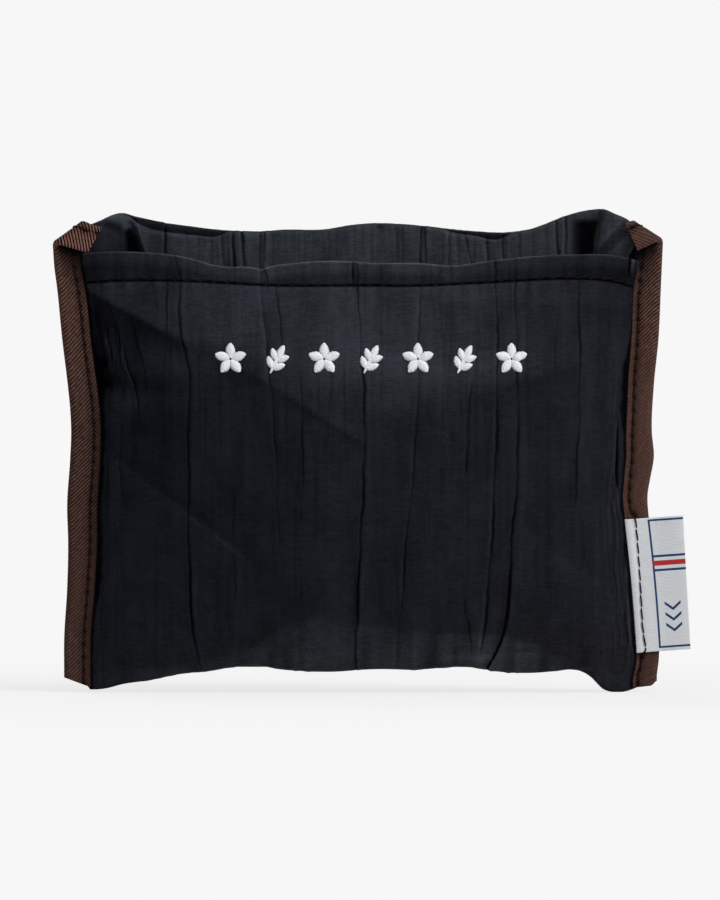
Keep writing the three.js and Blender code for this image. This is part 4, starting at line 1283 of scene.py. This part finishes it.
def woven_label(material):
    columns, rows = 64, 150
    share = np.linspace(0, 1, columns)[None, :]
    height = np.linspace(0, 1, rows)[:, None]
    z0 = LABEL_LOW + (LABEL_HIGH - LABEL_LOW) * height
    inner, _, free = label_edges(z0)
    x = inner + (free - inner) * share
    z = z0 + LABEL_RISE * (share - 0.2)
    reach = x - inner
    curl = LABEL_CURL * ease((reach - 5) / 12) ** 1.5
    corner_curl = LABEL_CORNER_CURL * ease((reach - 8) / 8) * (2 * height - 1) ** 2
    ripple = 0.10 * np.sin(z0 / 5.5 + 1.0) * ease((reach - 3) / 6)
    y = -TAPE_HALF - CLEARANCE - LABEL_THICKNESS - curl - corner_curl - ripple
    y -= 0.22 * bump(reach - 1.1, 1.0)
    y += 0.12 * bump(reach - 2.4, 0.5)
    grid = np.stack([x, y + 0 * z, z], axis=2)
    points, faces, _ = shell(grid, LABEL_THICKNESS, 0 * grid, step=1)
    flat = np.stack([reach, z0 - LABEL_LOW + 0 * x, 0 * x], axis=2).reshape(-1, 3)
    return make_object("woven_label", points, faces, material, np.concatenate([flat, flat]))


# Embroidery: satin stitches over a padded leaf or petal shape

def front_face(grid, x, z):
    """Depth of the finished front cloth at places on it, by the nearest points of its grid."""
    inner = grid[BOTTOM_ROWS:STITCH_ROW + 1, FLANGE:-FLANGE]
    column = np.clip(np.searchsorted(inner[60, :, 0], x), 1, inner.shape[1] - 1)
    row = np.array([np.searchsorted(inner[:, c, 2], height) for c, height in zip(column, z)])
    row = np.clip(row, 1, inner.shape[0] - 1)
    near = [inner[row - a, column - b, 1] for a in (0, 1) for b in (0, 1)]
    return np.mean(near, axis=0)


def satin_leaf(strands, grid, root, angle, length, width, random, high=0.62):
    along = np.array([math.cos(angle), math.sin(angle)])
    aside = np.array([-along[1], along[0]])
    steps = int(length / SATIN_PITCH)
    for k in range(steps + 1):
        a = 0.12 + (length - 0.24) * k / steps
        half = width / 2 * math.sin(math.pi * min(0.97, max(0.04, a / length))) ** 0.7
        half *= random.uniform(0.93, 1.05)
        t = np.linspace(-1, 1, 9)
        place = root + along * a + aside * (half * t)[:, None] + along * (0.35 * t * half / width)[:, None]
        swell_up = high * np.sqrt(np.clip(1 - t ** 2, 0, 1)) * (0.45 + 0.55 * 2 * half / width)
        y = front_face(grid, place[:, 0], place[:, 1]).mean() - 0.02 - swell_up
        path = np.stack([place[:, 0], y, place[:, 1]], axis=1)
        strands.add(path, SATIN_RADIUS, (0.0, -1.0, 0.05))


def blossom(strands, grid, middle, random):
    for k in range(PETAL_COUNT):
        angle = math.pi / 2 + 2 * math.pi * k / PETAL_COUNT
        root = middle + 0.35 * np.array([math.cos(angle), math.sin(angle)])
        satin_leaf(strands, grid, root, angle, PETAL_LENGTH, PETAL_WIDTH, random)


def leaf_sprig(strands, grid, middle, random):
    lean = 1.1
    length = 9.4
    leaf = 4.6
    direction = np.array([math.cos(lean), math.sin(lean)])
    foot = middle - direction * length / 2
    satin_leaf(strands, grid, foot, lean, length - leaf / 2, 1.1, random, 0.4)
    satin_leaf(strands, grid, foot + direction * (length - leaf) * 0.95, lean, leaf, 2.1, random)
    for share in (0.3, 0.85):
        for turn in (-0.8, 0.8):
            start = foot + direction * (length - leaf) * share
            satin_leaf(strands, grid, start, lean + turn, leaf * 0.85, 2.0, random)


def motif(index, grid, material):
    random = np.random.default_rng(SEED + 40 + index)
    x = MOTIF_ROW_SHIFT + (index - (MOTIF_COUNT - 1) / 2) * MOTIF_PITCH
    middle = np.array([x, MOTIF_ROW])
    strands = Strands(sides=5)
    if index % 2 == 0:
        blossom(strands, grid, middle, random)
    else:
        leaf_sprig(strands, grid, middle, random)
    return strands.object(f"embroidery_{index + 1}", material)


# Tote body and handles, folded to and fro inside the pocket

TOTE_LAYERS = 5
TOTE_GAP = 0.35
HANDLE_LAYERS = 2
HANDLE_GAP = 0.45

# How far the front layers end inside the solid's sides, and the places across where the back layers end,
# so that they pass the rim's corners when the tote is pulled out
TOTE_INSIDE = 0.9
HANDLE_INSIDE = 0.3
BACK_LAYERS_LEFT = -56.5
BACK_LAYERS_RIGHT = 62.5


def box_in_bag(node_name):
    """Low and high corner of a solid in the bag's own frame."""
    return [np.array(corner) / MM - [MIDDLE_X, SEAM_Y, 0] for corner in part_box(node_name)]


def serpentine(front, layer, gap, count, reach):
    """Middle line of a cloth folded to and fro, from the front layer to the back one."""
    points = []
    for k in range(count):
        y = front + layer / 2 + k * (layer + gap)
        inset = (layer + gap) / 2
        ends = [end - math.copysign(inset, end) for end in reach(y)]
        xs = np.linspace(*(ends if k % 2 == 0 else ends[::-1]), 60)
        points += [(x, y) for x in xs]
        if k + 1 < count:
            turn = np.linspace(-np.pi / 2, np.pi / 2, 9)[1:-1]
            way = 1 if k % 2 == 0 else -1
            points += [(xs[-1] + way * inset * math.cos(a), y + inset + inset * math.sin(a)) for a in turn]
    return np.array(points)


def folded_cloth(name, path, thickness, low, high, relief, material, edge):
    """A folded band standing on edge along a path seen from above, with rounded upper and lower edges."""
    along = unit(np.gradient(path, axis=0))
    aside = np.stack([along[:, 1], -along[:, 0]], axis=1)
    travelled = distances_along(path)
    up = np.linspace(0, 1, 40)
    rings, flats = [], []
    for k, (x, y) in enumerate(path):
        top = high(travelled[k])
        zs = low + edge + (top - low - 2 * edge) * up
        bulge = relief(travelled[k], zs)
        near_end = min(1.0, (travelled[k] + 0.3) / 1.5, (travelled[-1] - travelled[k] + 0.3) / 1.5)
        half = thickness / 2 * near_end
        cap = np.linspace(0, math.pi, 7)[1:-1]
        side_a = np.stack([np.full(up.shape, half) + bulge, zs], axis=1)
        roof = np.stack([half * np.cos(cap) + bulge[-1], top - edge + edge * np.sin(cap)], axis=1)
        side_b = np.stack([np.full(up.shape, -half) + bulge, zs], axis=1)[::-1]
        base = np.stack([-half * np.cos(cap) + bulge[0], low + edge - edge * np.sin(cap)], axis=1)
        offs, heights = np.roll(np.concatenate([side_a, roof, side_b, base]), 3, axis=0).T
        rings.append(np.stack([x + aside[k, 0] * offs, y + aside[k, 1] * offs, heights], axis=1))
        flats.append(np.stack([heights, np.full(heights.shape, travelled[k]), 0 * heights], axis=1))
    points, faces = loop_tube(rings)
    faces = [face[::-1] for face in faces]
    return make_object(name, points, faces, material, np.concatenate(flats))


def folded_tote(material):
    low, high = box_in_bag("folded_tote_body")
    layer = (high[1] - low[1] - (TOTE_LAYERS - 1) * TOTE_GAP) / TOTE_LAYERS

    def reach(y):
        left = low[0] + TOTE_INSIDE if y < 1 else BACK_LAYERS_LEFT
        right = high[0] - TOTE_INSIDE if y < -1 else BACK_LAYERS_RIGHT
        return left, right

    path = serpentine(low[1], layer, TOTE_GAP, TOTE_LAYERS, reach)
    random = np.random.default_rng(SEED + 7)
    phases = random.uniform(0, 6, 8)

    def top_at(s):
        return high[2] - 1.8 + 1.1 * math.sin(s / 31 + phases[0]) + 0.7 * math.sin(s / 9.0 + phases[1])

    def relief(s, z):
        wave = 0.10 * np.sin(s / 1.1 + 0.8 * np.sin(z / 14 + phases[2]))
        return wave + 0.08 * np.sin(s / 0.53 + phases[3] + 0.5 * np.sin(z / 9))

    return folded_cloth("folded_tote", path, layer, low[2], top_at, relief, material, edge=layer / 2)


def folded_handle(node_name, name, material):
    low, high = box_in_bag(node_name)
    layer = (high[1] - low[1] - (HANDLE_LAYERS - 1) * HANDLE_GAP) / HANDLE_LAYERS

    def reach(_):
        return low[0] + HANDLE_INSIDE, high[0] - HANDLE_INSIDE

    def top_at(_):
        return high[2]

    def relief(s, z):
        return 0.05 * np.sin(s / 4.0) + 0 * z

    path = serpentine(low[1], layer, HANDLE_GAP, HANDLE_LAYERS, reach)
    return folded_cloth(name, path, layer, low[2], top_at, relief, material, edge=0.35)


# Materials

CLOTH_SHINE = 0.08
WALE_PITCH = 1.19
WALE_MEAN = 0.4

# Drawn creases: half width and darkness of the line of painted shade, and place, half width and lightness
# of the painted highlights beside it
CREASE_HALF = 0.31
CREASE_PAINTED_SHADE = 1.25
LIT_EDGE_AWAY = 0.75
LIT_EDGE_HALF = 0.35
LIT_EDGE_LIGHT = 0.15

# Red, green and blue of the cloth: powers of its painted_tone, which turn it greener where painted light
# falls, and factors that paint the cooler shade of its left side and the warmer light on its right side and
# at its foot
LIT_HUE = (1.04, 1.11, 1.0)
LEFT_HUE = (0.91, 0.965, 1.0)
RIGHT_HUE = (1.03, 1.015, 1.0)
FOOT_HUE = (1.12, 1.08, 1.0)
HUE_SPAN = (-0.085, 0.075)
FOOT_SPAN = (0.026, 0.012)

CLOTH_COLOURS = (0.0040, 0.0046, 0.0072), (0.0098, 0.0108, 0.0158)
TOTE_COLOURS = (0.0070, 0.0078, 0.0108), (0.0140, 0.0152, 0.0200)
TAPE_COLOURS = (0.011, 0.0034, 0.0022), (0.150, 0.078, 0.061)
DARK_THREAD_COLOURS = (0.002, 0.0022, 0.003), (0.006, 0.0065, 0.0085)
BROWN_THREAD_COLOURS = (0.008, 0.0035, 0.0028), (0.028, 0.012, 0.0095)
WHITE_THREAD_COLOURS = (0.74, 0.76, 0.80), (0.88, 0.89, 0.92)
LABEL_WHITES = (0.575, 0.59, 0.61), (0.64, 0.65, 0.67)
LABEL_NAVY = (0.002, 0.034, 0.12)
LABEL_RED = (0.42, 0.015, 0.02)


class Output:
    """A number or colour that a node tree works out. Plain sums with it make the nodes for them."""

    def __init__(self, socket):
        self.socket = socket
        self.tree = socket.id_data

    def maths(self, operation, *others):
        values = dict(enumerate((self, *others)))
        return worked_out(self.tree, "ShaderNodeMath", values, 0, operation=operation)

    def __add__(self, other):
        return self.maths("ADD", other)

    def __sub__(self, other):
        return self.maths("SUBTRACT", other)

    def __mul__(self, other):
        return self.maths("MULTIPLY", other)

    def __truediv__(self, other):
        return self.maths("DIVIDE", other)

    def __pow__(self, other):
        return self.maths("POWER", other)

    def __abs__(self):
        return self.maths("ABSOLUTE")


def fill(entry, value):
    """Sets a node's input to a plain value, or links it to an output."""
    if isinstance(value, Output):
        value.tree.links.new(value.socket, entry)
    elif isinstance(value, tuple) and len(entry.default_value) == 4:
        entry.default_value = (*value, 1)
    else:
        entry.default_value = value


def worked_out(tree, kind, values, result, **settings):
    """One output of a new node, from the values of its inputs."""
    made = tree.nodes.new(kind)
    for key, setting in settings.items():
        setattr(made, key, setting)
    for key, value in values.items():
        fill(made.inputs[key], value)
    return Output(made.outputs[result])


def new_material(name, values):
    material = bpy.data.materials.new(name)
    material.use_nodes = True
    shader = material.node_tree.nodes["Principled BSDF"]
    for key, value in values.items():
        fill(shader.inputs[key], value)
    return material, material.node_tree, shader


def mixed(share, low, high):
    values = {"Factor": share, "A": low, "B": high}
    return worked_out(share.tree, "ShaderNodeMix", values, "Result", data_type="RGBA")


def multiplied(first, second):
    """A vector or colour multiplied part by part by another, or by three plain numbers."""
    return worked_out(first.tree, "ShaderNodeVectorMath", {0: first, 1: second}, 0, operation="MULTIPLY")


def object_place(tree):
    return worked_out(tree, "ShaderNodeTexCoord", {}, "Object")


def parts_of(vector):
    made = vector.tree.nodes.new("ShaderNodeSeparateXYZ")
    fill(made.inputs[0], vector)
    return [Output(made.outputs[axis]) for axis in "XYZ"]


def attribute_parts(tree, label):
    """The three numbers of a mesh attribute."""
    return parts_of(worked_out(tree, "ShaderNodeAttribute", {}, "Vector", attribute_name=label))


def stretched_noise(tree, scales, detail=4.0):
    """Noise with its own number of lumps to the metre along each axis."""
    place = multiplied(object_place(tree), scales)
    values = {"Vector": place, "Scale": 1.0, "Detail": detail, "Roughness": 0.6}
    return worked_out(tree, "ShaderNodeTexNoise", values, "Fac")


def even_noise(tree, scale, detail=2.0):
    return stretched_noise(tree, (scale, scale, scale), detail)


def between(value, low, high):
    """A value's share of the way from low to high, kept from 0 to 1."""
    values = {"Value": value, "From Min": low, "From Max": high}
    return worked_out(value.tree, "ShaderNodeMapRange", values, "Result")


def bumped(shader, *layers):
    """Lays bumps over one another on a shader, each a height, a distance in metres and a strength."""
    values = {}
    for height, distance, strength in layers:
        values.update({"Height": height, "Distance": distance, "Strength": strength})
        values["Normal"] = worked_out(height.tree, "ShaderNodeBump", values, "Normal")
    fill(shader.inputs["Normal"], values["Normal"])


def bell(value, width):
    """1 where a value is 0, falling off smoothly within the width either side."""
    share = value / width
    return (share * share * -1.0).maths("EXPONENT")


def raised_wave(angle):
    """A wave between 0 and 1."""
    return angle.maths("SINE") * 0.5 + 0.5


def drawn_line(across, strength):
    """How far inside a line of painted shade a place is, and how that line changes the painted_tone: it has
    a painted highlight either side."""
    line = bell(across, CREASE_HALF) * strength
    lit = bell(abs(across) - LIT_EDGE_AWAY, LIT_EDGE_HALF) * strength.maths("MINIMUM", 1.5)
    return line, line * -CREASE_PAINTED_SHADE + lit * LIT_EDGE_LIGHT


def painted_shading(tree):
    """A cloth's painted light and shade, with the painted shade of its crease lines and the painted shadow
    along its stitch line, as one factor, and its crease lines by themselves.
    """
    lightness, across, strength = attribute_parts(tree, "shading_marks")
    from_seam, seam_shadow, _ = attribute_parts(tree, "seam")
    line, change = drawn_line(across, strength)
    _, seam_change = drawn_line(from_seam, seam_shadow)
    return lightness * (change + seam_change).maths("EXPONENT"), line


def with_painted_light(tree, colour, painted_tone):
    """A cloth's colour times its painted_tone of painted light and shade, turned greener where painted light
    falls, with painted hues for the cooler shade of the bag's left side and the warmer light on its right
    side and foot.
    """
    powers = {k: painted_tone ** power for k, power in enumerate(LIT_HUE)}
    hues = worked_out(tree, "ShaderNodeCombineXYZ", powers, 0)
    x, _, z = parts_of(object_place(tree))
    across = mixed(between(x, *HUE_SPAN), LEFT_HUE, RIGHT_HUE)
    foot = mixed(between(z, *FOOT_SPAN), (1.0, 1.0, 1.0), FOOT_HUE)
    for factor in (hues, across, foot):
        colour = multiplied(colour, factor)
    return colour


def crinkle_cloth(name, dark, light, with_marks):
    """Fine slubbed cloth with streaks along its crinkles; where it has shading_marks they draw its crease
    lines and paint light and shade on it.
    """
    material, tree, shader = new_material(name, {
        "Base Color": dark, "Roughness": 0.62, "Specular IOR Level": CLOTH_SHINE,
        "Sheen Weight": 0.02, "Sheen Roughness": 0.45, "Sheen Tint": (0.75, 0.85, 1.0)})
    streaks = stretched_noise(tree, (520, 520, 34))
    slubs = stretched_noise(tree, (300, 300, 1900), 3.0)
    grain = stretched_noise(tree, (1300, 1300, 1700), 3.0)
    clouds = stretched_noise(tree, (120, 120, 90), 5.0)
    upright = stretched_noise(tree, (1500, 1500, 90), 3.0)
    shade = streaks * 0.15 + slubs * 0.27 + grain * 0.28 + clouds * 0.30
    colour = mixed(between(shade, 0.435, 0.565), dark, light)
    relief = streaks * 0.6
    if with_marks:
        painted_tone, line = painted_shading(tree)
        relief = relief - line
        colour = with_painted_light(tree, colour, painted_tone)
        # the shine is dimmed and raised with the painted light and shade
        fill(shader.inputs["Specular IOR Level"], painted_tone * CLOTH_SHINE)
    fill(shader.inputs["Base Color"], colour)
    bumped(shader, (relief, 0.0002, 0.8), (upright, 0.00010, 0.5), (slubs, 0.00012, 0.7),
           (even_noise(tree, 3000), 0.00006, 0.8))
    return material


def twill(name, slope, dark, light, with_marks):
    """Slanted wales across the tape: slope 1 or -1 is the way in which they climb."""
    material, tree, shader = new_material(
        name, {"Base Color": dark, "Roughness": 0.62, "Specular IOR Level": 0.05})
    across, up, _ = attribute_parts(tree, "flat")
    wander = even_noise(tree, 150) * 0.5
    wave = raised_wave((across * slope + up + wander) * (2 * math.pi / WALE_PITCH))
    wear = between(even_noise(tree, 900, 4.0), 0.25, 0.75)
    shade = wave ** 1.3 * (wear * 0.9 + 0.55)
    if with_marks:
        # painted light and shade of the tape, and its wale contrast, set partly to paint how the light rakes
        # the wales
        lightness, contrast, _ = attribute_parts(tree, "shading_marks")
        speckle = (wear - 0.5) * 0.22
        shade = (shade - WALE_MEAN) * contrast + speckle + WALE_MEAN
    colour = mixed(shade, dark, light)
    # the tape's colour scaled by its painted light and shade
    if with_marks:
        values = {0: colour, "Scale": lightness}
        colour = worked_out(tree, "ShaderNodeVectorMath", values, 0, operation="SCALE")
    fill(shader.inputs["Base Color"], colour)
    bumped(shader, (wave, 0.00022, 0.8), (even_noise(tree, 2600), 0.00006, 0.6))
    return material


def thread(name, dark, light, roughness, specular):
    """Twisted thread: fine slanted ridges round and along each strand."""
    material, tree, shader = new_material(
        name, {"Base Color": dark, "Roughness": roughness, "Specular IOR Level": specular})
    around, along, _ = attribute_parts(tree, "flat")
    ridge = raised_wave((around * 1.4 + along) * 9.0)
    fill(shader.inputs["Base Color"], mixed(ridge, dark, light))
    bumped(shader, (ridge, 0.00006, 0.7))
    return material


def any_of(found, *others):
    """1 where any of several shares is 1."""
    for other in others:
        found = found.maths("MAXIMUM", other)
    return found


def band(value, middle, half):
    """1 within half a width of a middle, and 0 elsewhere."""
    return abs(value - middle).maths("LESS_THAN", half)


def bands(value, places, half):
    return any_of(*(band(value, place, half) for place in places))


def label_weave(name):
    """White woven ribbon: a navy line along three sides, a navy, red and navy stripe, and three chevrons."""
    material, tree, shader = new_material(
        name, {"Base Color": LABEL_WHITES[0], "Roughness": 0.6, "Specular IOR Level": 0.3})
    across, up, _ = attribute_parts(tree, "flat")
    inside = across.maths("GREATER_THAN", FRAME_INNER - 0.2)
    side_reach = band(up, (FRAME_LOW + FRAME_HIGH) / 2, (FRAME_HIGH - FRAME_LOW) / 2 + 0.2)
    side_line = band(across, FRAME_INNER, FRAME_HALF) * side_reach
    end_lines = bands(up, (FRAME_LOW, FRAME_HIGH), FRAME_HALF)
    thin_places = (STRIPE_MIDDLE - THIN_STRIPE_AWAY, STRIPE_MIDDLE + THIN_STRIPE_AWAY)
    thin_stripes = bands(up, thin_places, THIN_STRIPE_HALF)
    aside = abs(across - CHEVRON_MIDDLE)
    rows = bands(up - aside * CHEVRON_SLOPE, CHEVRONS_UP, CHEVRON_HALF)
    chevrons = aside.maths("LESS_THAN", CHEVRON_SPAN) * rows
    navy = any_of(side_line, inside * any_of(end_lines, thin_stripes), chevrons)
    red = inside * band(up, STRIPE_MIDDLE, STRIPE_HALF)
    ground = mixed(between(stretched_noise(tree, (900, 900, 2400), 3.0), 0.3, 0.7), *LABEL_WHITES)
    fill(shader.inputs["Base Color"], mixed(red, mixed(navy, ground, LABEL_NAVY), LABEL_RED))
    ribs = (up * (2 * math.pi / RIB_PITCH)).maths("SINE")
    bumped(shader, (ribs, 0.00003, 0.8), (even_noise(tree, 2600), 0.00005, 0.5))
    return material


# Stage

# The stage is in metres. Near the bag, where the floor takes its shadow, only a share of its tone is a
# glow; from the far end of its span on all of it is.
BACKGROUND = 0.93
SKY = (0.17, 0.174, 0.18)
FLOOR_REACH = 20.0
FLOOR_GLOW = 0.8
FLOOR_SPAN = (0.10, 0.55)
CAMERA_AWAY = 3.0
FRAME_WIDTH = 0.216
CAMERA_HEIGHT = 0.0726
CAMERA_X = -0.0034
LAMPS_AIM_AT = 0.07


def camera():
    data = bpy.data.cameras.new("camera")
    data.sensor_fit = "HORIZONTAL"
    data.sensor_width = 36.0
    data.lens = data.sensor_width * CAMERA_AWAY / FRAME_WIDTH
    data.clip_end = 50.0
    made = placed("camera", data)
    made.location = (CAMERA_X, -CAMERA_AWAY, CAMERA_HEIGHT)
    made.rotation_euler = (math.pi / 2, 0, 0)
    bpy.context.scene.camera = made


def seen_directly(tree):
    rays = tree.nodes.new("ShaderNodeLightPath").outputs
    return Output(rays["Is Camera Ray"]).maths("MAXIMUM", Output(rays["Is Transmission Ray"]))


def world():
    made = bpy.data.worlds.new("studio")
    bpy.context.scene.world = made
    made.use_nodes = True
    tree = made.node_tree
    pale = (BACKGROUND, BACKGROUND, BACKGROUND)
    fill(tree.nodes["Background"].inputs["Color"], mixed(seen_directly(tree), SKY, pale))


def floor():
    mesh = bpy.data.meshes.new("floor")
    corners = [(FLOOR_REACH * x, FLOOR_REACH * y, 0) for x, y in ((-1, -1), (1, -1), (1, 1), (-1, 1))]
    mesh.from_pydata(corners, [], [(0, 1, 2, 3)])
    material = bpy.data.materials.new("pale_floor")
    material.use_nodes = True
    tree = material.node_tree
    tree.nodes.clear()
    white = (1.0, 1.0, 1.0)
    glow = worked_out(tree, "ShaderNodeEmission", {"Color": white, "Strength": BACKGROUND}, 0)
    matt = worked_out(tree, "ShaderNodeBsdfDiffuse", {"Color": (0.8, 0.8, 0.8)}, 0)
    place = {0: object_place(tree)}
    distance = worked_out(tree, "ShaderNodeVectorMath", place, "Value", operation="LENGTH")
    share = between(distance, *FLOOR_SPAN) * (1 - FLOOR_GLOW) + FLOOR_GLOW
    surfaces = {0: share * seen_directly(tree), 1: matt, 2: glow}
    output = tree.nodes.new("ShaderNodeOutputMaterial")
    fill(output.inputs["Surface"], worked_out(tree, "ShaderNodeMixShader", surfaces, 0))
    mesh.materials.append(material)
    placed("floor", mesh)


def lamp(name, place, size, power):
    data = bpy.data.lights.new(name, "AREA")
    data.shape = "SQUARE"
    data.size = size
    data.energy = power
    made = placed(name, data)
    made.location = place
    aim = np.array([0, 0, LAMPS_AIM_AT]) - np.array(place)
    made.rotation_euler = (math.atan2(math.hypot(aim[0], aim[1]), -aim[2]), 0, math.atan2(-aim[0], aim[1]))


def lamps():
    lamp("key", (1.2, -1.2, 1.25), 0.7, 27)
    lamp("top", (0.1, -0.7, 1.5), 0.9, 8)
    lamp("back", (-0.6, 1.7, 1.1), 1.0, 16)


def dressed(piece, body, node_name):
    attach(piece, body)
    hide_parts(node_name)


def dress_cloth(cloth):
    """The pocket's front, back and turned rim; the front's grid is given back."""
    front, front_shading = front_cloth()
    back, back_shading = back_cloth()
    rim, rim_shading = rim_cloth()
    for name, grid, grid_shading, thickness, replaced in (
        ("pocket_front", front, front_shading, PANEL_CLOTH, "pocket_cloth"),
        ("pocket_back", back, back_shading, PANEL_CLOTH, "pocket_cloth"),
        ("turned_rim", rim, rim_shading, RIM_CLOTH, "turned_in_rim"),
    ):
        points, faces, shading_marks = shell(grid, thickness, grid_shading)
        piece = make_object(name, points, faces, cloth, shading_marks=shading_marks[:, :3], seam=shading_marks[:, 3:])
        dressed(piece, "pocket", replaced)
    return front


def dress_hem(front, dark_thread):
    needle = hem_thread(front, "hem_stitches", dark_thread, False)
    dressed(needle, "pocket", "hem_needle_thread")
    bobbin = hem_thread(front, "hem_stitches_inside", dark_thread, True)
    dressed(bobbin, "pocket", "hem_bobbin_thread")


def dress_sides(tapes, brown_thread):
    for side, word in ((LEFT, "left"), (RIGHT, "right")):
        tape = binding_tape(side, f"{word}_tape", tapes[side])
        dressed(tape, "pocket", f"{word}_binding_tape")
        needle = binding_thread(side, f"{word}_tape_stitches", brown_thread, False)
        dressed(needle, "pocket", f"{word}_binding_needle_thread")
        bobbin = binding_thread(side, f"{word}_tape_stitches_behind", brown_thread, True)
        dressed(bobbin, "pocket", f"{word}_binding_bobbin_thread")


def dress_motifs(front, white_thread):
    for index in range(MOTIF_COUNT):
        made = motif(index, front, white_thread)
        dressed(made, "pocket", f"embroidered_motif_{index + 1}")


def dress_label(weave):
    """The woven label takes the place of the label's sewn strip and free tab; the ends of a slightly leaning
    line between its stitches and the start of its free tab are worked out but not used.
    """
    label = woven_label(weave)
    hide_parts("label_sewn_strip", "label_free_tab")
    middle_z = (LABEL_LOW + LABEL_HIGH) / 2
    _, stitched, _ = label_edges(middle_z)
    start = in_row([stitched + LABEL_BEND_FROM, 0, middle_z])[0]
    end = in_row([stitched + LABEL_BEND_TO, 0, middle_z + LABEL_BEND_RISE])[0]
    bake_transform(label)


def dress_tote(cloth, tape):
    dressed(folded_tote(cloth), "folded_tote", "folded_tote_body")
    for word in ("left", "right"):
        node_name = f"folded_handle_{word}"
        dressed(folded_handle(node_name, f"handle_{word}", tape), "folded_tote", node_name)


def main():
    camera()
    world()
    floor()
    lamps()
    cloth = crinkle_cloth("crinkle_cloth", *CLOTH_COLOURS, True)
    inner_cloth = crinkle_cloth("tote_cloth", *TOTE_COLOURS, False)
    tapes = {
        LEFT: twill("left_tape_twill", -1.0, *TAPE_COLOURS, True),
        RIGHT: twill("right_tape_twill", 1.0, *TAPE_COLOURS, True),
    }
    handle_twill = twill("handle_twill", 1.0, *TAPE_COLOURS, False)
    dark_thread = thread("dark_thread", *DARK_THREAD_COLOURS, 0.6, 0.08)
    brown_thread = thread("brown_thread", *BROWN_THREAD_COLOURS, 0.6, 0.05)
    white_thread = thread("white_thread", *WHITE_THREAD_COLOURS, 0.4, 0.5)
    front = dress_cloth(cloth)
    dress_hem(front, dark_thread)
    dress_sides(tapes, brown_thread)
    dress_motifs(front, white_thread)
    dress_label(label_weave("label_weave"))
    dress_tote(inner_cloth, handle_twill)
    bpy.context.scene.view_settings.view_transform = "Standard"


main()
